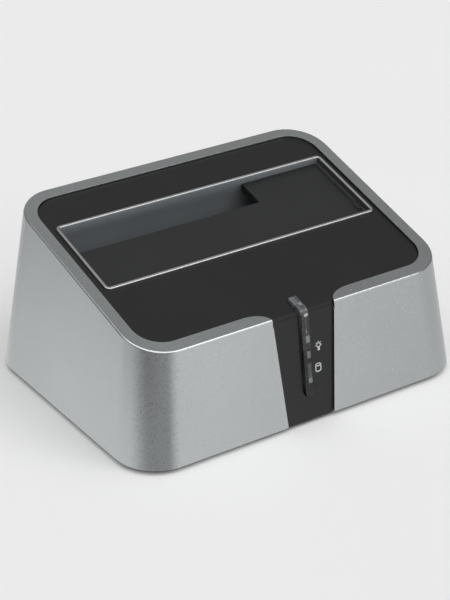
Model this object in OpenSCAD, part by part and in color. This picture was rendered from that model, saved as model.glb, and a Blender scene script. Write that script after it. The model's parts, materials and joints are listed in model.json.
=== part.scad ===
// Hard drive docking station: a wedge-shaped silver case with a black top panel,
// a sprung dust flap over the drive slot, a light pipe down the front and rear ports.
// Lengths are in millimetres. +X is right seen from the front, +Y is back, +Z is up.
// The feet stand on z = 0 and the origin is under the middle of the case.

/* [Case] */
// Width of the case at its bottom edge
body_w = 130; // [128:1:138]
// Depth of the case at its bottom edge
body_d = 98; // [97:0.5:102]
// Height of the front top edge above the case's bottom edge
front_h = 37.6; // [37:0.2:40]
// Height of the back top edge above the case's bottom edge
back_h = 60.4; // [59:0.2:63]
// How far the front face leans back
front_lean = 5.8; // [5:0.1:6.4]
// How far the back face leans forward
back_lean = 10; // [9:0.1:10.6]
// How far each side leans in
side_lean = 5; // [4:0.1:5.4]
// Corner radius at the bottom edge
corner_r = 15; // [13:0.5:17]
// Corner radius at the top edge
top_corner_r = 13.8; // [13.2:0.2:14.6]
// Wall thickness of the case
wall_t = 2.2; // [2:0.1:2.4]
// Thickness of the flat land round the top panel
land_t = 2; // [1.8:0.1:2.4]
// Rounding of the top outer edge
edge_r = 0.7; // [0.4:0.1:1]

/* [Top panel] */
// Land width at the sides
land_side = 4.5; // [4.3:0.1:4.8]
// Land width at the front
land_front = 4.8; // [4.4:0.1:5.4]
// Land width at the back
land_back = 4.4; // [4.2:0.1:5]
// Inner corner radius of the land
inner_r = 9.6; // [9:0.2:10.4]
// Depth of the panel below the land and of the tongue below the front face
panel_drop = 0.8; // [0.5:0.1:1]
// Side clearance round the panel and the tongue
panel_gap = 0.15; // [0.1:0.05:0.3]
// Thickness of the lap under the land
flange_t = 1.5; // [1.2:0.1:1.8]
// How far the panel laps under the land
flange_lap = 1.5; // [1:0.1:1.6]
// Outside radius of the bend between panel and tongue
bend_r = 1.5; // [1:0.1:2.5]
// Width of the tongue at the front top edge
tongue_top_w = 24.2; // [23:0.2:26]
// Width of the tongue at the bottom edge
tongue_bottom_w = 18.5; // [17:0.5:20]
// Width over which the land sweeps into the tongue
flare_w = 8.4; // [7:0.2:10]

/* [Drive slot] */
// Clear width of the slot, for a 101.6 mm wide drive
slot_w = 103.8; // [103:0.1:105]
// Clear depth of the slot along the slope
slot_d = 31.5; // [31:0.1:32]
// Distance of the slot's middle from the back top edge, along the slope
slot_v = 35.1; // [34.6:0.1:35.6]
// Width of the bright trim round the slot
trim_w = 0.8; // [0.6:0.1:1.2]
// Height of the trim
trim_h = 1; // [0.8:0.1:1.2]
// How far the trim stands above the panel
trim_proud = 0.3; // [0.2:0.1:0.5]
// Wall thickness of the drive well
well_t = 1.8; // [1.5:0.1:2]
// Thickness of the well's floor
floor_t = 1.4; // [1.2:0.1:1.5]
// Height of the drive's rests above the well's floor
rest_h = 2.5; // [2:0.1:3]

/* [Dust flap] */
// Depth of the flap's top below the land
flap_drop = 2.6; // [2.4:0.1:2.8]
// Thickness of the flap
flap_t = 2; // [1.7:0.1:2]
// Gap round the flap
flap_gap = 0.4; // [0.35:0.05:0.6]
// Gap between the hanging flap and the well's floor
flap_floor_gap = 0.5; // [0.4:0.1:0.8]
// Width of the notch for a small drive
notch_w = 72.2; // [71:0.1:73]
// Depth of the notch along the slope
notch_d = 11.2; // [10.8:0.1:12]
// Radius of the hinge barrel, which also sets the pin below the flap's top
barrel_r = 2.4; // [2.3:0.05:2.5]
// Radius of the hinge pin
pin_r = 0.8; // [0.7:0.05:0.85]
// Running clearance of the flap on its pin
pin_gap = 0.05; // [0.03:0.01:0.08]
// Wire diameter of the flap's spring
spring_wire = 0.45; // [0.35:0.05:0.45]
// Turns of the flap's spring
spring_turns = 4; // [3:1:4]

/* [Light pipe] */
// Width of the light pipe
pipe_w = 3.1; // [2.6:0.1:3.4]
// Side clearance of the light pipe
pipe_gap = 0.3; // [0.2:0.05:0.35]
// How far the light pipe stands above the panel
pipe_proud = 1; // [0.6:0.1:1.2]
// How far the light pipe reaches back over the panel
pipe_back = 7; // [6:0.1:9]
// Height of the light pipe's lower end up the face
pipe_low = 8.6; // [7:0.1:10]
// Height of the power light up the face
lamp_high = 24.4; // [23.4:0.2:25.4]
// Height of the activity light up the face
lamp_low = 17.1; // [16.2:0.1:18]

/* [Base] */
// Height that the feet stand out below the case
foot_h = 1.5; // [1:0.1:2]
// Radius of the feet
foot_r = 4; // [3.5:0.1:4.2]
// Thickness of the bottom cover
base_t = 2; // [1.8:0.1:2.2]
// Height of the board's bosses above the bottom cover
boss_h = 1.8; // [1.6:0.1:2.2]
// Radius of the screw shanks
screw_r = 1.3; // [1.1:0.05:1.3]
// Clearance round the screw shanks
screw_gap = 0.05; // [0.03:0.01:0.1]

/* [Board and ports] */
// Thickness of the circuit boards
board_t = 1.6; // [1.4:0.1:1.7]
// Distance of the drive connector's middle left of the slot's middle
sata_left = 26; // [25.5:0.1:26.5]
// Width of the opening in the case's back for the ports
ports_w = 66; // [64:0.5:70]
// Distance of the power inlet and the button from the middle
port_pitch = 20; // [19:0.5:21]
// Radius of the power inlet's hole, for a 5.5 mm barrel plug
jack_r = 3.15; // [3:0.05:3.3]
// Radius of the power inlet's centre pin
jack_pin_r = 1; // [0.9:0.05:1.2]
// Radius of the power button
button_r = 3; // [2.8:0.1:3.2]
// Travel of the power button
button_travel = 1.6; // [1.2:0.1:1.7]

/* [Hidden] */
$fn = 48;

// clearances shared by the fits
fit = 0.05;
skin = 0.02;

// the sloping top, measured from the front top edge: v runs up the slope, w out of it
run = body_d - front_lean - back_lean;
tilt = atan((back_h - front_h) / run);
top_len = run / cos(tilt);
top_w = body_w - 2 * side_lean;
top_y0 = -body_d / 2 + front_lean;
top_z0 = foot_h + front_h;
function top_y(v, w) = top_y0 + v * cos(tilt) - w * sin(tilt);
function top_z(v, w) = top_z0 + v * sin(tilt) + w * cos(tilt);
function plane_z(y, w) = top_z0 + (y - top_y0) * tan(tilt) + w / cos(tilt);
function slope_v(y, w) = (y - top_y0 + w * sin(tilt)) / cos(tilt);

// the leaning front and back faces
front_ang = atan(front_lean / front_h);
front_len = front_h / cos(front_ang);
back_ang = atan(back_lean / back_h);
fold = front_ang + tilt;
function front_y(z) = -body_d / 2 + (z - foot_h) * tan(front_ang);
function back_y(z) = body_d / 2 - (z - foot_h) * tan(back_ang);

// heights of the stack inside
base_top = foot_h + base_t;
boss_top = base_top + boss_h;
board_top = boss_top + board_t;
lap_d = max(land_t, wall_t) + fit;
under_w = -lap_d - flange_t;
// the back wall's inner face at the lap's underside, and the lap that it leaves room for
back_wall_v = (wall_t - under_w * sin(tilt - back_ang)) / cos(tilt - back_ang);
lap_back = min(flange_lap, land_back - back_wall_v - fit);

// the slot, its flap and the well below
slot_mid = top_len - slot_v;
slot_v0 = slot_mid - slot_d / 2;
slot_v1 = slot_mid + slot_d / 2;
bay_back_y = top_y(slot_v1, 0);
pin_w = -flap_drop - barrel_r;
pin_v = slot_v0 - 0.45;
pin_y = top_y(pin_v, pin_w);
pin_z = top_z(pin_v, pin_w);
flap_v1 = slot_v1 - flap_gap;
flap_half = slot_w / 2 - flap_gap;
flap_reach = norm([flap_v1 - pin_v, barrel_r]);
well_y0 = pin_y - barrel_r - 0.3;
well_y1 = pin_y + flap_reach + 0.4;
well_top_w = under_w - fit;
knee_w = well_top_w - 0.5;
knee_y = top_y(slot_v1, knee_w);
knee_z = top_z(slot_v1, knee_w);
bend_z = knee_z - (well_y1 - knee_y) / tan(tilt);
floor_z = pin_z - flap_reach - flap_floor_gap;
rest_z = floor_z + rest_h;
rest_y0 = pin_y + sqrt(pow(flap_reach, 2) - pow(pin_z - rest_z, 2)) + flap_floor_gap;
notch_x = -slot_w / 2 + notch_w;

// the flap's spring sits in a gap of the barrel near the right end
coil_r = pin_r + spring_wire / 2 + 0.18;
coil_pitch = spring_wire + 0.5;
coil_x = slot_w / 2 - 7.9;
coil_end_x = coil_x + coil_pitch * (spring_turns + 0.21);
coil_clear = coil_r + spring_wire / 2 + 0.3;

// the ports at the back
io_z0 = board_top - 1.5;
io_z1 = board_top + 12.7;
io_face = back_y(io_z1) - 0.1;
io_flange = back_y(io_z1 + 1.5) - wall_t / cos(back_ang) - 0.2;
io_back = io_flange - 1.5;
port_face = io_face - 0.2;
board_y0 = front_y(board_top) + 12;
board_y1 = io_back - 0.3;
sata_y = bay_back_y - 4.6;
sata_top = rest_z + 4;
usb_z = board_top + fit;
jack_z = board_top + 6.5;
button_z = board_top + 4.5;
switch_y1 = port_face - 9.2;
cap_y0 = switch_y1 + button_travel + 1.8;
cap_y1 = io_face + button_travel + 0.5;

// posts that tie the panel to the bottom cover, and the board's bosses
post_x = top_w / 2 - 9;
post_y0 = top_y0 + 11.4;
post_y1 = body_d / 2 - back_lean - 8;
post_r = 3;
post_z = base_top + 1.5;
board_x0 = post_r + 0.5 - post_x;
board_x1 = post_x - 9;
ear_x = 30;
ear_v0 = slope_v(well_y0 - well_t, well_top_w) - 5.5;
ear_v1 = slope_v(well_y1 + well_t, well_top_w) + 5.5;
ear_w = well_top_w - 5;
ear_t = 2;
lamp_y = front_y(foot_h + lamp_high) + 10;
pipe_depth = panel_drop + 3;

// sizes of the bought-in parts
head_r = 2.4;
head_h = 1.5;
sata_w = 37.4;
chip_w = 10;
chip_h = 0.95;
chip_x = board_x1 - 15;
chip_y = board_y0 + 11;
lead_pitch = 0.8;
lead_len = 1;
crystal_l = 11.4;
crystal_w = 4.8;
crystal_h = 3.5;
cap_r = 3.15;
cap_h = 7.2;
cap_pitch = 10;
inductor_w = 7.2;
inductor_h = 3.8;
regulator_w = 6.5;
regulator_d = 3.5;
regulator_h = 1.6;
usb_w = 12;
usb_h = 10.9;
usb_d = 16;
usb_wall = 0.35;
usb_reach = 9.5;
jack_w = 9;
jack_h = 11;
jack_d = 14;
switch_w = 8.5;
switch_h = 8.55;
plunger_w = 3;
front_row = board_y0 + 8;

// outlines
function arc(cx, cy, rx, ry, a0, a1, n = 10) =
  [for (i = [0:n]) let (a = a0 + (a1 - a0) * i / n) [cx + rx * cos(a), cy + ry * sin(a)]];

function round_rect(x0, y0, x1, y1, r, n = 10) = concat(
  arc(x1 - r, y0 + r, r, r, -90, 0, n),
  arc(x1 - r, y1 - r, r, r, 0, 90, n),
  arc(x0 + r, y1 - r, r, r, 90, 180, n),
  arc(x0 + r, y0 + r, r, r, 180, 270, n));

// the land's inner edge, drawn in by g, with the mouth that runs out over the front
function panel_outline(g) =
  let (hw = top_w / 2 - land_side - g,
       v0 = land_front + g,
       v1 = top_len - land_back - g,
       r = inner_r - g,
       mouth = tongue_top_w / 2 + flare_w)
  concat(
    [[tongue_top_w / 2 - g, -8]],
    arc(mouth, 0, flare_w + g, v0, 180, 90, 14),
    arc(hw - r, v0 + r, r, r, -90, 0, 12),
    arc(hw - r, v1 - r, r, r, 0, 90, 12),
    arc(r - hw, v1 - r, r, r, 90, 180, 12),
    arc(r - hw, v0 + r, r, r, 180, 270, 12),
    arc(-mouth, 0, flare_w + g, v0, 90, 0, 14),
    [[g - tongue_top_w / 2, -8]]);

// the tongue on the front face, drawn in by g
function tongue_outline(g) =
  let (b = tongue_bottom_w / 2 - g, t = tongue_top_w / 2 - g)
  [[0.6 - b, 0], [b - 0.6, 0], [b, 0.6], [t, front_len], [t, front_len + 6],
   [-t, front_len + 6], [-t, front_len], [-b, 0.6]];

// a point s down the front face and d behind it, in v and w
function face_point(s, d) = [d * cos(fold) - s * sin(fold), -d * sin(fold) - s * cos(fold)];

// where the planes d below the top and d behind the front meet
function fold_v(d) = d * (1 - sin(fold)) / cos(fold);

// the rounded bend d below the top plane and the front plane
function bend_arc(d, r) =
  arc(fold_v(d) + r / tan((90 + fold) / 2), -d - r, r, r, 90, 180 - fold, 8);

// everything more than d below both the top plane and the front plane
function wedge(d, r) =
  concat([[140, -d]], bend_arc(d, r), [face_point(100, d), [140, -d - 120]]);

// a strip from d0 to d1 below both planes, from v1 on the top to s1 down the front
function bent_strip(d0, d1, r, v1, s1) =
  concat([[v1, -d0]], bend_arc(d0, r),
    [face_point(s1, d0), face_point(s1, d1), [fold_v(d1), -d1], [v1, -d1]]);

// frames
module at_top() {
  translate([0, top_y0, top_z0]) rotate([tilt, 0, 0]) children();
}

module at_face() {
  translate([0, -body_d / 2, foot_h]) rotate([90 - front_ang, 0, 0]) children();
}

// a profile in y and z drawn along x from x0 to x1
module along_x(x0, x1, points) {
  translate([x0, 0, 0]) rotate([90, 0, 90]) linear_extrude(x1 - x0) polygon(points);
}

// a profile in x and z drawn along y from y0 to y1
module along_y(y0, y1, points) {
  translate([0, y1, 0]) rotate([90, 0, 0]) linear_extrude(y1 - y0) polygon(points);
}

module rod_x(x0, x1, r) {
  translate([x0, 0, 0]) rotate([0, 90, 0]) cylinder(h = x1 - x0, r = r);
}

module rod_y(y0, y1, r) {
  translate([0, y0, 0]) rotate([-90, 0, 0]) cylinder(h = y1 - y0, r = r);
}

module box(x0, y0, z0, x1, y1, z1) {
  translate([x0, y0, z0]) cube([x1 - x0, y1 - y0, z1 - z0]);
}

// springs
function unit(v) = v / norm(v);

function ring(p, t, ref, r) =
  let (a = unit(ref - (ref * t) * t), b = cross(t, a))
  [for (k = [0:5]) p + r * cos(60 * k) * a + r * sin(60 * k) * b];

function least_gap(path, wire) =
  min([for (i = [0:len(path) - 1], j = [0:len(path) - 1]) if (j > i + 5) norm(path[i] - path[j])]) - wire;

module wire_tube(path, wire, ref) {
  m = len(path);
  points = [for (i = [0:m - 1])
    let (t = unit(path[min(i + 1, m - 1)] - path[max(i - 1, 0)]))
    each ring(path[i], t, ref, wire / 2)];
  sides = [for (i = [0:m - 2], k = [0:5])
    let (a = 6 * i + k, b = 6 * i + (k + 1) % 6)
    each [[a, a + 6, b + 6], [a, b + 6, b]]];
  polyhedron(points, concat([[0, 1, 2, 3, 4, 5]], sides,
    [[for (k = [5:-1:0]) 6 * (m - 1) + k]]));
}

// one leg stands on the well's front wall, the coil winds round the pin, the other lifts the flap
torsion_rings = 8 * spring_turns + 2;
torsion_sweep = 90 - tilt + 360 * spring_turns;
torsion_path = concat(
  [for (h = [9, 6, 3]) [coil_x, pin_y - coil_r, pin_z - h]],
  [for (i = [0:torsion_rings])
    let (a = 180 - torsion_sweep * i / torsion_rings)
    [coil_x + coil_pitch * torsion_sweep / 360 * i / torsion_rings,
     pin_y + coil_r * cos(a), pin_z + coil_r * sin(a)]],
  [for (u = [3, 6, 9])
    [coil_x + coil_pitch * torsion_sweep / 360,
     pin_y - coil_r * sin(tilt) + u * cos(tilt), pin_z + coil_r * cos(tilt) + u * sin(tilt)]]);

button_wire = 0.35;
button_coil_r = 2.45;
button_room = cap_y0 - switch_y1;
button_rings = 24;
button_path = [for (i = [0:button_rings])
  [port_pitch + button_coil_r * cos(45 * i),
   switch_y1 + 0.25 + (button_room - 0.5) * i / button_rings,
   button_z + button_coil_r * sin(45 * i)]];

module screw(head_r, head_h, len, r) {
  difference() {
    union() {
      cylinder(h = head_h, r = head_r);
      translate([0, 0, head_h - 0.1]) cylinder(h = len + 0.1, r = r);
    }
    translate([-head_r * 0.6, -0.35, -1]) cube([head_r * 1.2, 0.7, 1.7]);
    translate([-0.35, -head_r * 0.6, -1]) cube([0.7, head_r * 1.2, 1.7]);
  }
}

module at_posts() {
  for (x = [-post_x, post_x], y = [post_y0, post_y1]) translate([x, y, 0]) children();
}

module at_bosses() {
  for (x = [board_x0 + 4, board_x1 - 4], y = [board_y0 + 4, board_y1 - 4])
    translate([x, y, 0]) children();
}

module at_ears() {
  at_top() for (x = [-ear_x, ear_x], v = [ear_v0, ear_v1]) translate([x, v, ear_w]) children();
}

module at_feet() {
  for (x = [-1, 1], y = [-1, 1])
    translate([x * (body_w / 2 - 14.5), y * (body_d / 2 - 9.5), 0]) children();
}

// the case as a hull of its bottom outline and its rounded top edge
module case_form() {
  hull() {
    translate([0, 0, foot_h]) linear_extrude(skin)
      polygon(round_rect(0.4 - body_w / 2, 0.4 - body_d / 2, body_w / 2 - 0.4, body_d / 2 - 0.4,
        corner_r - 0.4));
    translate([0, 0, foot_h + 0.4]) linear_extrude(skin)
      polygon(round_rect(-body_w / 2, -body_d / 2, body_w / 2, body_d / 2, corner_r));
    at_top() for (i = [0:4]) {
      g = edge_r * (1 - cos(22.5 * i));
      translate([0, 0, -edge_r * (1 - sin(22.5 * i)) - skin]) linear_extrude(skin)
        polygon(round_rect(g - top_w / 2, g, top_w / 2 - g, top_len - g, top_corner_r - g));
    }
  }
}

module case_cavity() {
  z0 = foot_h - 1;
  x0 = body_w / 2 - wall_t;
  y0 = front_y(z0) + wall_t / cos(front_ang);
  y1 = back_y(z0) - wall_t / cos(back_ang);
  v0 = (wall_t - land_t * sin(fold)) / cos(fold);
  v1 = top_len - (wall_t + land_t * sin(tilt - back_ang)) / cos(tilt - back_ang);
  hull() {
    translate([0, 0, z0]) linear_extrude(skin)
      polygon(round_rect(-x0, y0, x0, y1, corner_r - wall_t));
    at_top() translate([0, 0, -land_t - skin]) linear_extrude(skin)
      polygon(round_rect(wall_t - top_w / 2, v0, top_w / 2 - wall_t, v1, top_corner_r - wall_t));
  }
}

module upper_case() {
  color([0.7, 0.71, 0.72]) difference() {
    case_form();
    case_cavity();
    translate([0, 0, foot_h - 1]) linear_extrude(base_t + 1)
      polygon(round_rect(1.3 - body_w / 2, 1.3 - body_d / 2, body_w / 2 - 1.3, body_d / 2 - 1.3,
        corner_r - 1.3));
    at_top() translate([0, 0, -land_t - 0.5]) linear_extrude(land_t + 4)
      polygon(panel_outline(0));
    at_face() translate([0, -1, -wall_t - 1]) linear_extrude(wall_t + 4)
      polygon([for (p = tongue_outline(0)) [p[0], p[1] == 0 ? -1 : p[1] + 1]]);
    along_y(body_d / 2 - 20, body_d / 2 + 5,
      round_rect(-ports_w / 2, io_z0, ports_w / 2, io_z1, 1.2, 6));
  }
}

module panel_slot() {
  at_top() {
    translate([0, 0, -30]) linear_extrude(40)
      polygon(round_rect(-slot_w / 2, slot_v0, slot_w / 2, slot_v1, 0.8, 6));
    translate([0, 0, trim_proud - panel_drop - trim_h]) linear_extrude(10)
      polygon(round_rect(-slot_w / 2 - trim_w - fit, slot_v0 - trim_w - fit,
        slot_w / 2 + trim_w + fit, slot_v1 + trim_w + fit, 1.6, 6));
    translate([0, pin_v, pin_w]) rod_x(-slot_w / 2 - 0.2, slot_w / 2 + 0.2, barrel_r + 0.3);
  }
}

module pipe_cut(half, gap, depth) {
  at_top() translate([0, 0, -depth]) linear_extrude(depth + 8)
    polygon([[-half, -12], [half, -12], [half, pipe_back + gap], [-half, pipe_back + gap]]);
  at_face() translate([0, 0, -depth]) linear_extrude(depth + 8)
    polygon(concat([[half, front_len + 8], [-half, front_len + 8]],
      arc(0, pipe_low - gap + half, half, half, 180, 360, 12)));
}

module pipe_slot() {
  pipe_cut(pipe_w / 2 + fit, fit, pipe_depth);
  // an open joint round the part that shows
  pipe_cut(pipe_w / 2 + pipe_gap, pipe_gap, panel_drop + 1);
}

// lugs in the slot's ends that stop the flap when it is shut
module flap_stops() {
  w0 = fit - flap_drop;
  w1 = trim_proud - panel_drop - trim_h - fit;
  at_top() {
    box(-slot_w / 2 - 0.3, slot_v0 + 4, w0, -slot_w / 2 + 1, slot_v0 + 7, w1);
    box(slot_w / 2 - 1, slot_v0 + 4, w0, slot_w / 2 + 0.3, slot_v0 + 7, w1);
  }
}

module top_panel() {
  color([0.09, 0.09, 0.1]) {
    panel_body();
    flap_stops();
  }
}

module panel_body() {
  difference() {
    union() {
      intersection() {
        union() {
          at_top() translate([0, 0, -land_t - 0.4]) linear_extrude(land_t + 3)
            polygon(panel_outline(panel_gap));
          at_face() translate([0, 0, -wall_t - 0.4]) linear_extrude(wall_t + 3)
            polygon(tongue_outline(panel_gap));
        }
        at_top() along_x(-70, 70, wedge(panel_drop, bend_r));
      }
      // the lap under the land and behind the edges of the tongue's opening
      at_top() {
        translate([0, 0, under_w]) linear_extrude(flange_t)
          polygon(round_rect(land_side - flange_lap - top_w / 2, land_front - flange_lap,
            top_w / 2 - land_side + flange_lap, top_len - land_back + lap_back,
            inner_r + flange_lap, 12));
        along_x(-tongue_top_w / 2 - flange_lap, tongue_top_w / 2 + flange_lap,
          bent_strip(lap_d, -under_w, 0.3, 2 * land_front, front_len - base_t - 0.6));
      }
      intersection() {
        union() {
          at_posts() translate([0, 0, post_z + fit]) cylinder(h = back_h, r = post_r);
          at_ears() translate([0, 0, fit]) cylinder(h = 6, r = 2.8);
        }
        at_top() translate([-100, -50, -150]) cube([200, 200, 150 - lap_d - flange_t / 3]);
      }
    }
    panel_slot();
    pipe_slot();
    at_posts() translate([0, 0, post_z - 1]) cylinder(h = 10.5, r = screw_r + screw_gap);
    at_ears() translate([0, 0, -1]) cylinder(h = 6, r = screw_r + screw_gap);
  }
}

module slot_trim() {
  color([0.8, 0.81, 0.82]) at_top() difference() {
    union() {
      translate([0, 0, trim_proud - panel_drop - trim_h]) linear_extrude(trim_h - 0.3)
        polygon(round_rect(-slot_w / 2 - trim_w, slot_v0 - trim_w, slot_w / 2 + trim_w,
          slot_v1 + trim_w, 1.55, 6));
      translate([0, 0, trim_proud - panel_drop - 0.4]) linear_extrude(0.4)
        polygon(round_rect(0.25 - slot_w / 2 - trim_w, slot_v0 - trim_w + 0.25,
          slot_w / 2 + trim_w - 0.25, slot_v1 + trim_w - 0.25, 1.3, 6));
    }
    translate([0, 0, -5]) linear_extrude(10)
      polygon(round_rect(-slot_w / 2, slot_v0, slot_w / 2, slot_v1, 0.8, 6));
  }
}

module drive_well() {
  half = slot_w / 2;
  y0 = well_y0 - well_t;
  y1 = well_y1 + well_t;
  color([0.1, 0.1, 0.11]) difference() {
    union() {
      difference() {
        along_x(-half - well_t, half + well_t,
          [[y0, floor_z - floor_t], [y1, floor_z - floor_t],
           [y1, plane_z(y1, well_top_w)], [y0, plane_z(y0, well_top_w)]]);
        along_x(-half, half,
          [[well_y0, floor_z], [well_y1, floor_z], [well_y1, bend_z],
           [knee_y, knee_z], [knee_y, knee_z + 10], [well_y0, knee_z + 10]]);
      }
      // rests under the drive and ribs that set it off the back wall
      for (x = [[-half - skin, -sata_left - sata_w / 2 - 1.2], [half - 5, half + skin]])
        box(x[0], rest_y0, floor_z - skin, x[1], well_y1 + skin, rest_z);
      for (x = [-half + 1.5, -4, 18, half - 3.5])
        along_x(x, x + 2,
          [[bay_back_y, floor_z - skin], [well_y1 + skin, floor_z - skin],
           [well_y1 + skin, pin_z - 10], [bay_back_y, pin_z - 14]]);
      // a rib for the spring's standing leg
      along_x(coil_x - 0.6, coil_x + 0.6,
        [[well_y0 - skin, pin_z - 10], [pin_y - coil_r - spring_wire / 2, pin_z - 9.5],
         [pin_y - coil_r - spring_wire / 2, pin_z - 6], [well_y0 - skin, pin_z - 4.5]]);
      // ears for the screws
      for (x = [-ear_x, ear_x]) {
        at_top() translate([x - 4, ear_v0 - 4, ear_w - ear_t]) cube([8, 9.3, ear_t]);
        at_top() translate([x - 4, ear_v1 - 7.8, ear_w - ear_t]) cube([8, 11.8, ear_t]);
      }
    }
    // the drive connector comes up through the floor
    box(-sata_left - sata_w / 2 - 0.9, sata_y - 4.4, floor_z - 5, -sata_left + sata_w / 2 + 0.9, sata_y + 3.1,
      floor_z + 1);
    translate([0, pin_y, pin_z]) rod_x(-half - 5, half + 5, pin_r + 0.02);
    at_ears() translate([0, 0, -5]) cylinder(h = 10, r = screw_r + 0.25);
  }
}

module well_screws() {
  color([0.45, 0.46, 0.47]) at_ears()
    translate([0, 0, -ear_t - head_h - fit]) screw(head_r, head_h, ear_t + 4.5, screw_r);
}

module dust_flap() {
  color([0.11, 0.11, 0.12]) at_top() difference() {
    union() {
      translate([0, 0, -flap_drop - flap_t]) linear_extrude(flap_t)
        polygon([[-flap_half, pin_v], [flap_half - 1.6, pin_v], [flap_half - 1.6, pin_v + 2.6],
          [flap_half, pin_v + 2.6], [flap_half, flap_v1], [notch_x, flap_v1],
          [notch_x, slot_v1 - notch_d], [-flap_half, slot_v1 - notch_d]]);
      translate([0, pin_v, pin_w]) {
        rod_x(-flap_half, coil_x - 0.7, barrel_r);
        rod_x(coil_end_x + 0.7, flap_half, barrel_r);
      }
      // stiffening ribs under the flap
      for (x = [-34, 0, 34])
        translate([x - 0.7, pin_v, -flap_drop - flap_t - 1])
          cube([1.4, slot_v1 - notch_d - pin_v - 1.5, 1.2]);
    }
    translate([0, pin_v, pin_w]) {
      rod_x(-flap_half - 5, flap_half + 5, pin_r + pin_gap);
      rod_x(coil_x - 0.7, coil_end_x + 0.7, coil_clear);
    }
    // a groove for the spring's lifting leg
    translate([coil_end_x - 0.7, pin_v, -flap_drop - flap_t - 1])
      cube([1.4, 10, flap_t + 1 - (barrel_r - coil_clear)]);
  }
}

module flap_hinge_pin() {
  color([0.75, 0.75, 0.76]) translate([0, pin_y, pin_z])
    rod_x(-slot_w / 2 - well_t, slot_w / 2 + well_t, pin_r);
}

module flap_spring() {
  echo(flap_spring_least_gap = least_gap(torsion_path, spring_wire));
  color([0.7, 0.7, 0.72]) wire_tube(torsion_path, spring_wire, [1, 0, 0]);
}

module light_pipe() {
  color([0.8, 0.85, 0.88, 0.6]) union() {
    difference() {
      intersection() {
        pipe_cut(pipe_w / 2, 0, pipe_depth);
        at_top() along_x(-10, 10, wedge(panel_drop - pipe_proud, bend_r + pipe_proud));
      }
      at_top() along_x(-10, 10, wedge(panel_drop + 1.8, 0.5));
    }
    // guides that lead the lamps' light to the strip
    for (e = [lamp_low, lamp_high]) {
      z = foot_h + e * cos(front_ang);
      translate([0, 0, z]) rod_y(front_y(z) + panel_drop + 1.4, lamp_y - 4.4, 1.1);
    }
  }
}

module bottom_cover() {
  color([0.12, 0.12, 0.13]) difference() {
    union() {
      translate([0, 0, foot_h]) linear_extrude(base_t - fit)
        polygon(round_rect(1.45 - body_w / 2, 1.45 - body_d / 2, body_w / 2 - 1.45,
          body_d / 2 - 1.45, corner_r - 1.45));
      at_posts() translate([0, 0, foot_h]) cylinder(h = post_z - foot_h, r = 4);
      at_bosses() translate([0, 0, foot_h]) cylinder(h = base_t + boss_h, r = 3);
    }
    // room for the tongue's lower end
    box(-tongue_bottom_w / 2 - 0.3, -body_d / 2, 0, tongue_bottom_w / 2 + 0.3, -body_d / 2 + 5,
      base_top + 1);
    at_posts() translate([0, 0, -1]) {
      cylinder(h = 12, r = screw_r + 0.25);
      cylinder(h = foot_h + 1.3 + head_h, r = head_r + 0.2);
    }
    at_bosses() translate([0, 0, foot_h + 1]) cylinder(h = 12, r = screw_r + screw_gap);
    at_feet() translate([0, 0, foot_h - 1]) cylinder(h = 1.6, r = foot_r + 0.1);
    for (x = [-30:10:30])
      box(x - 1.2, -16, 0, x + 1.2, 16, base_top + 1);
  }
}

module rubber_feet() {
  color([0.06, 0.06, 0.06]) at_feet() {
    translate([0, 0, 0.4]) cylinder(h = foot_h + 0.6 - 0.4 - fit, r = foot_r);
    cylinder(h = 0.41, r1 = foot_r - 0.4, r2 = foot_r);
  }
}

module case_screws() {
  color([0.4, 0.41, 0.42]) at_posts()
    translate([0, 0, foot_h + 0.3 - fit]) screw(head_r, head_h, 10, screw_r);
}

module main_board() {
  color([0.05, 0.3, 0.14]) difference() {
    translate([0, 0, boss_top + fit]) linear_extrude(board_t - fit)
      polygon(round_rect(board_x0, board_y0, board_x1, board_y1, 1, 6));
    at_bosses() cylinder(h = 40, r = screw_r + 0.3);
  }
}

module board_screws() {
  color([0.55, 0.55, 0.56]) at_bosses()
    translate([0, 0, board_top + head_h + fit]) mirror([0, 0, 1])
      screw(head_r, head_h, board_t + boss_h + base_t - 1.4, screw_r);
}

module sata_connector() {
  z0 = board_top + fit;
  half = sata_w / 2;
  color([0.08, 0.08, 0.08]) translate([-sata_left, sata_y, 0]) difference() {
    union() {
      box(-half, -2.5, z0, half, 2.5, sata_top);
      box(-half, -2.5, z0, 1.3 - half, 2.5, sata_top + 1.4);
      box(half - 1.3, -2.5, z0, half, 2.5, sata_top + 1.4);
      box(-half, -2.9, z0, half, 2.9, z0 + 1.6);
    }
    // the two L-shaped slots that take the drive's blades
    box(-16.6, -0.8, sata_top - 5.2, 4.6, 0.8, sata_top + 5);
    box(-16.6, -0.8, sata_top - 5.2, -15.2, 1.7, sata_top + 5);
    box(6.2, -0.8, sata_top - 5.2, 16.6, 0.8, sata_top + 5);
    box(6.2, -0.8, sata_top - 5.2, 7.6, 1.7, sata_top + 5);
  }
}

module sata_contacts() {
  xs = concat([for (i = [0:14]) -13.9 + 1.27 * i], [for (i = [0:6]) 8.4 + 1.27 * i]);
  color([0.83, 0.68, 0.3]) translate([-sata_left, sata_y, 0]) for (x = xs) {
    box(x - 0.3, -0.79, sata_top - 5.1, x + 0.3, -0.54, sata_top - 0.8);
    box(x - 0.25, -4.2, board_top + fit, x + 0.25, -2.95, board_top + fit + 0.25);
  }
}

module bridge_chip() {
  color([0.07, 0.07, 0.07]) difference() {
    box(chip_x - chip_w / 2, chip_y - chip_w / 2, board_top + 0.1,
      chip_x + chip_w / 2, chip_y + chip_w / 2, board_top + 0.1 + chip_h);
    translate([chip_x - 0.39 * chip_w, chip_y + 0.39 * chip_w, board_top + chip_h])
      cylinder(h = 1, r = chip_w / 20);
  }
}

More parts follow.
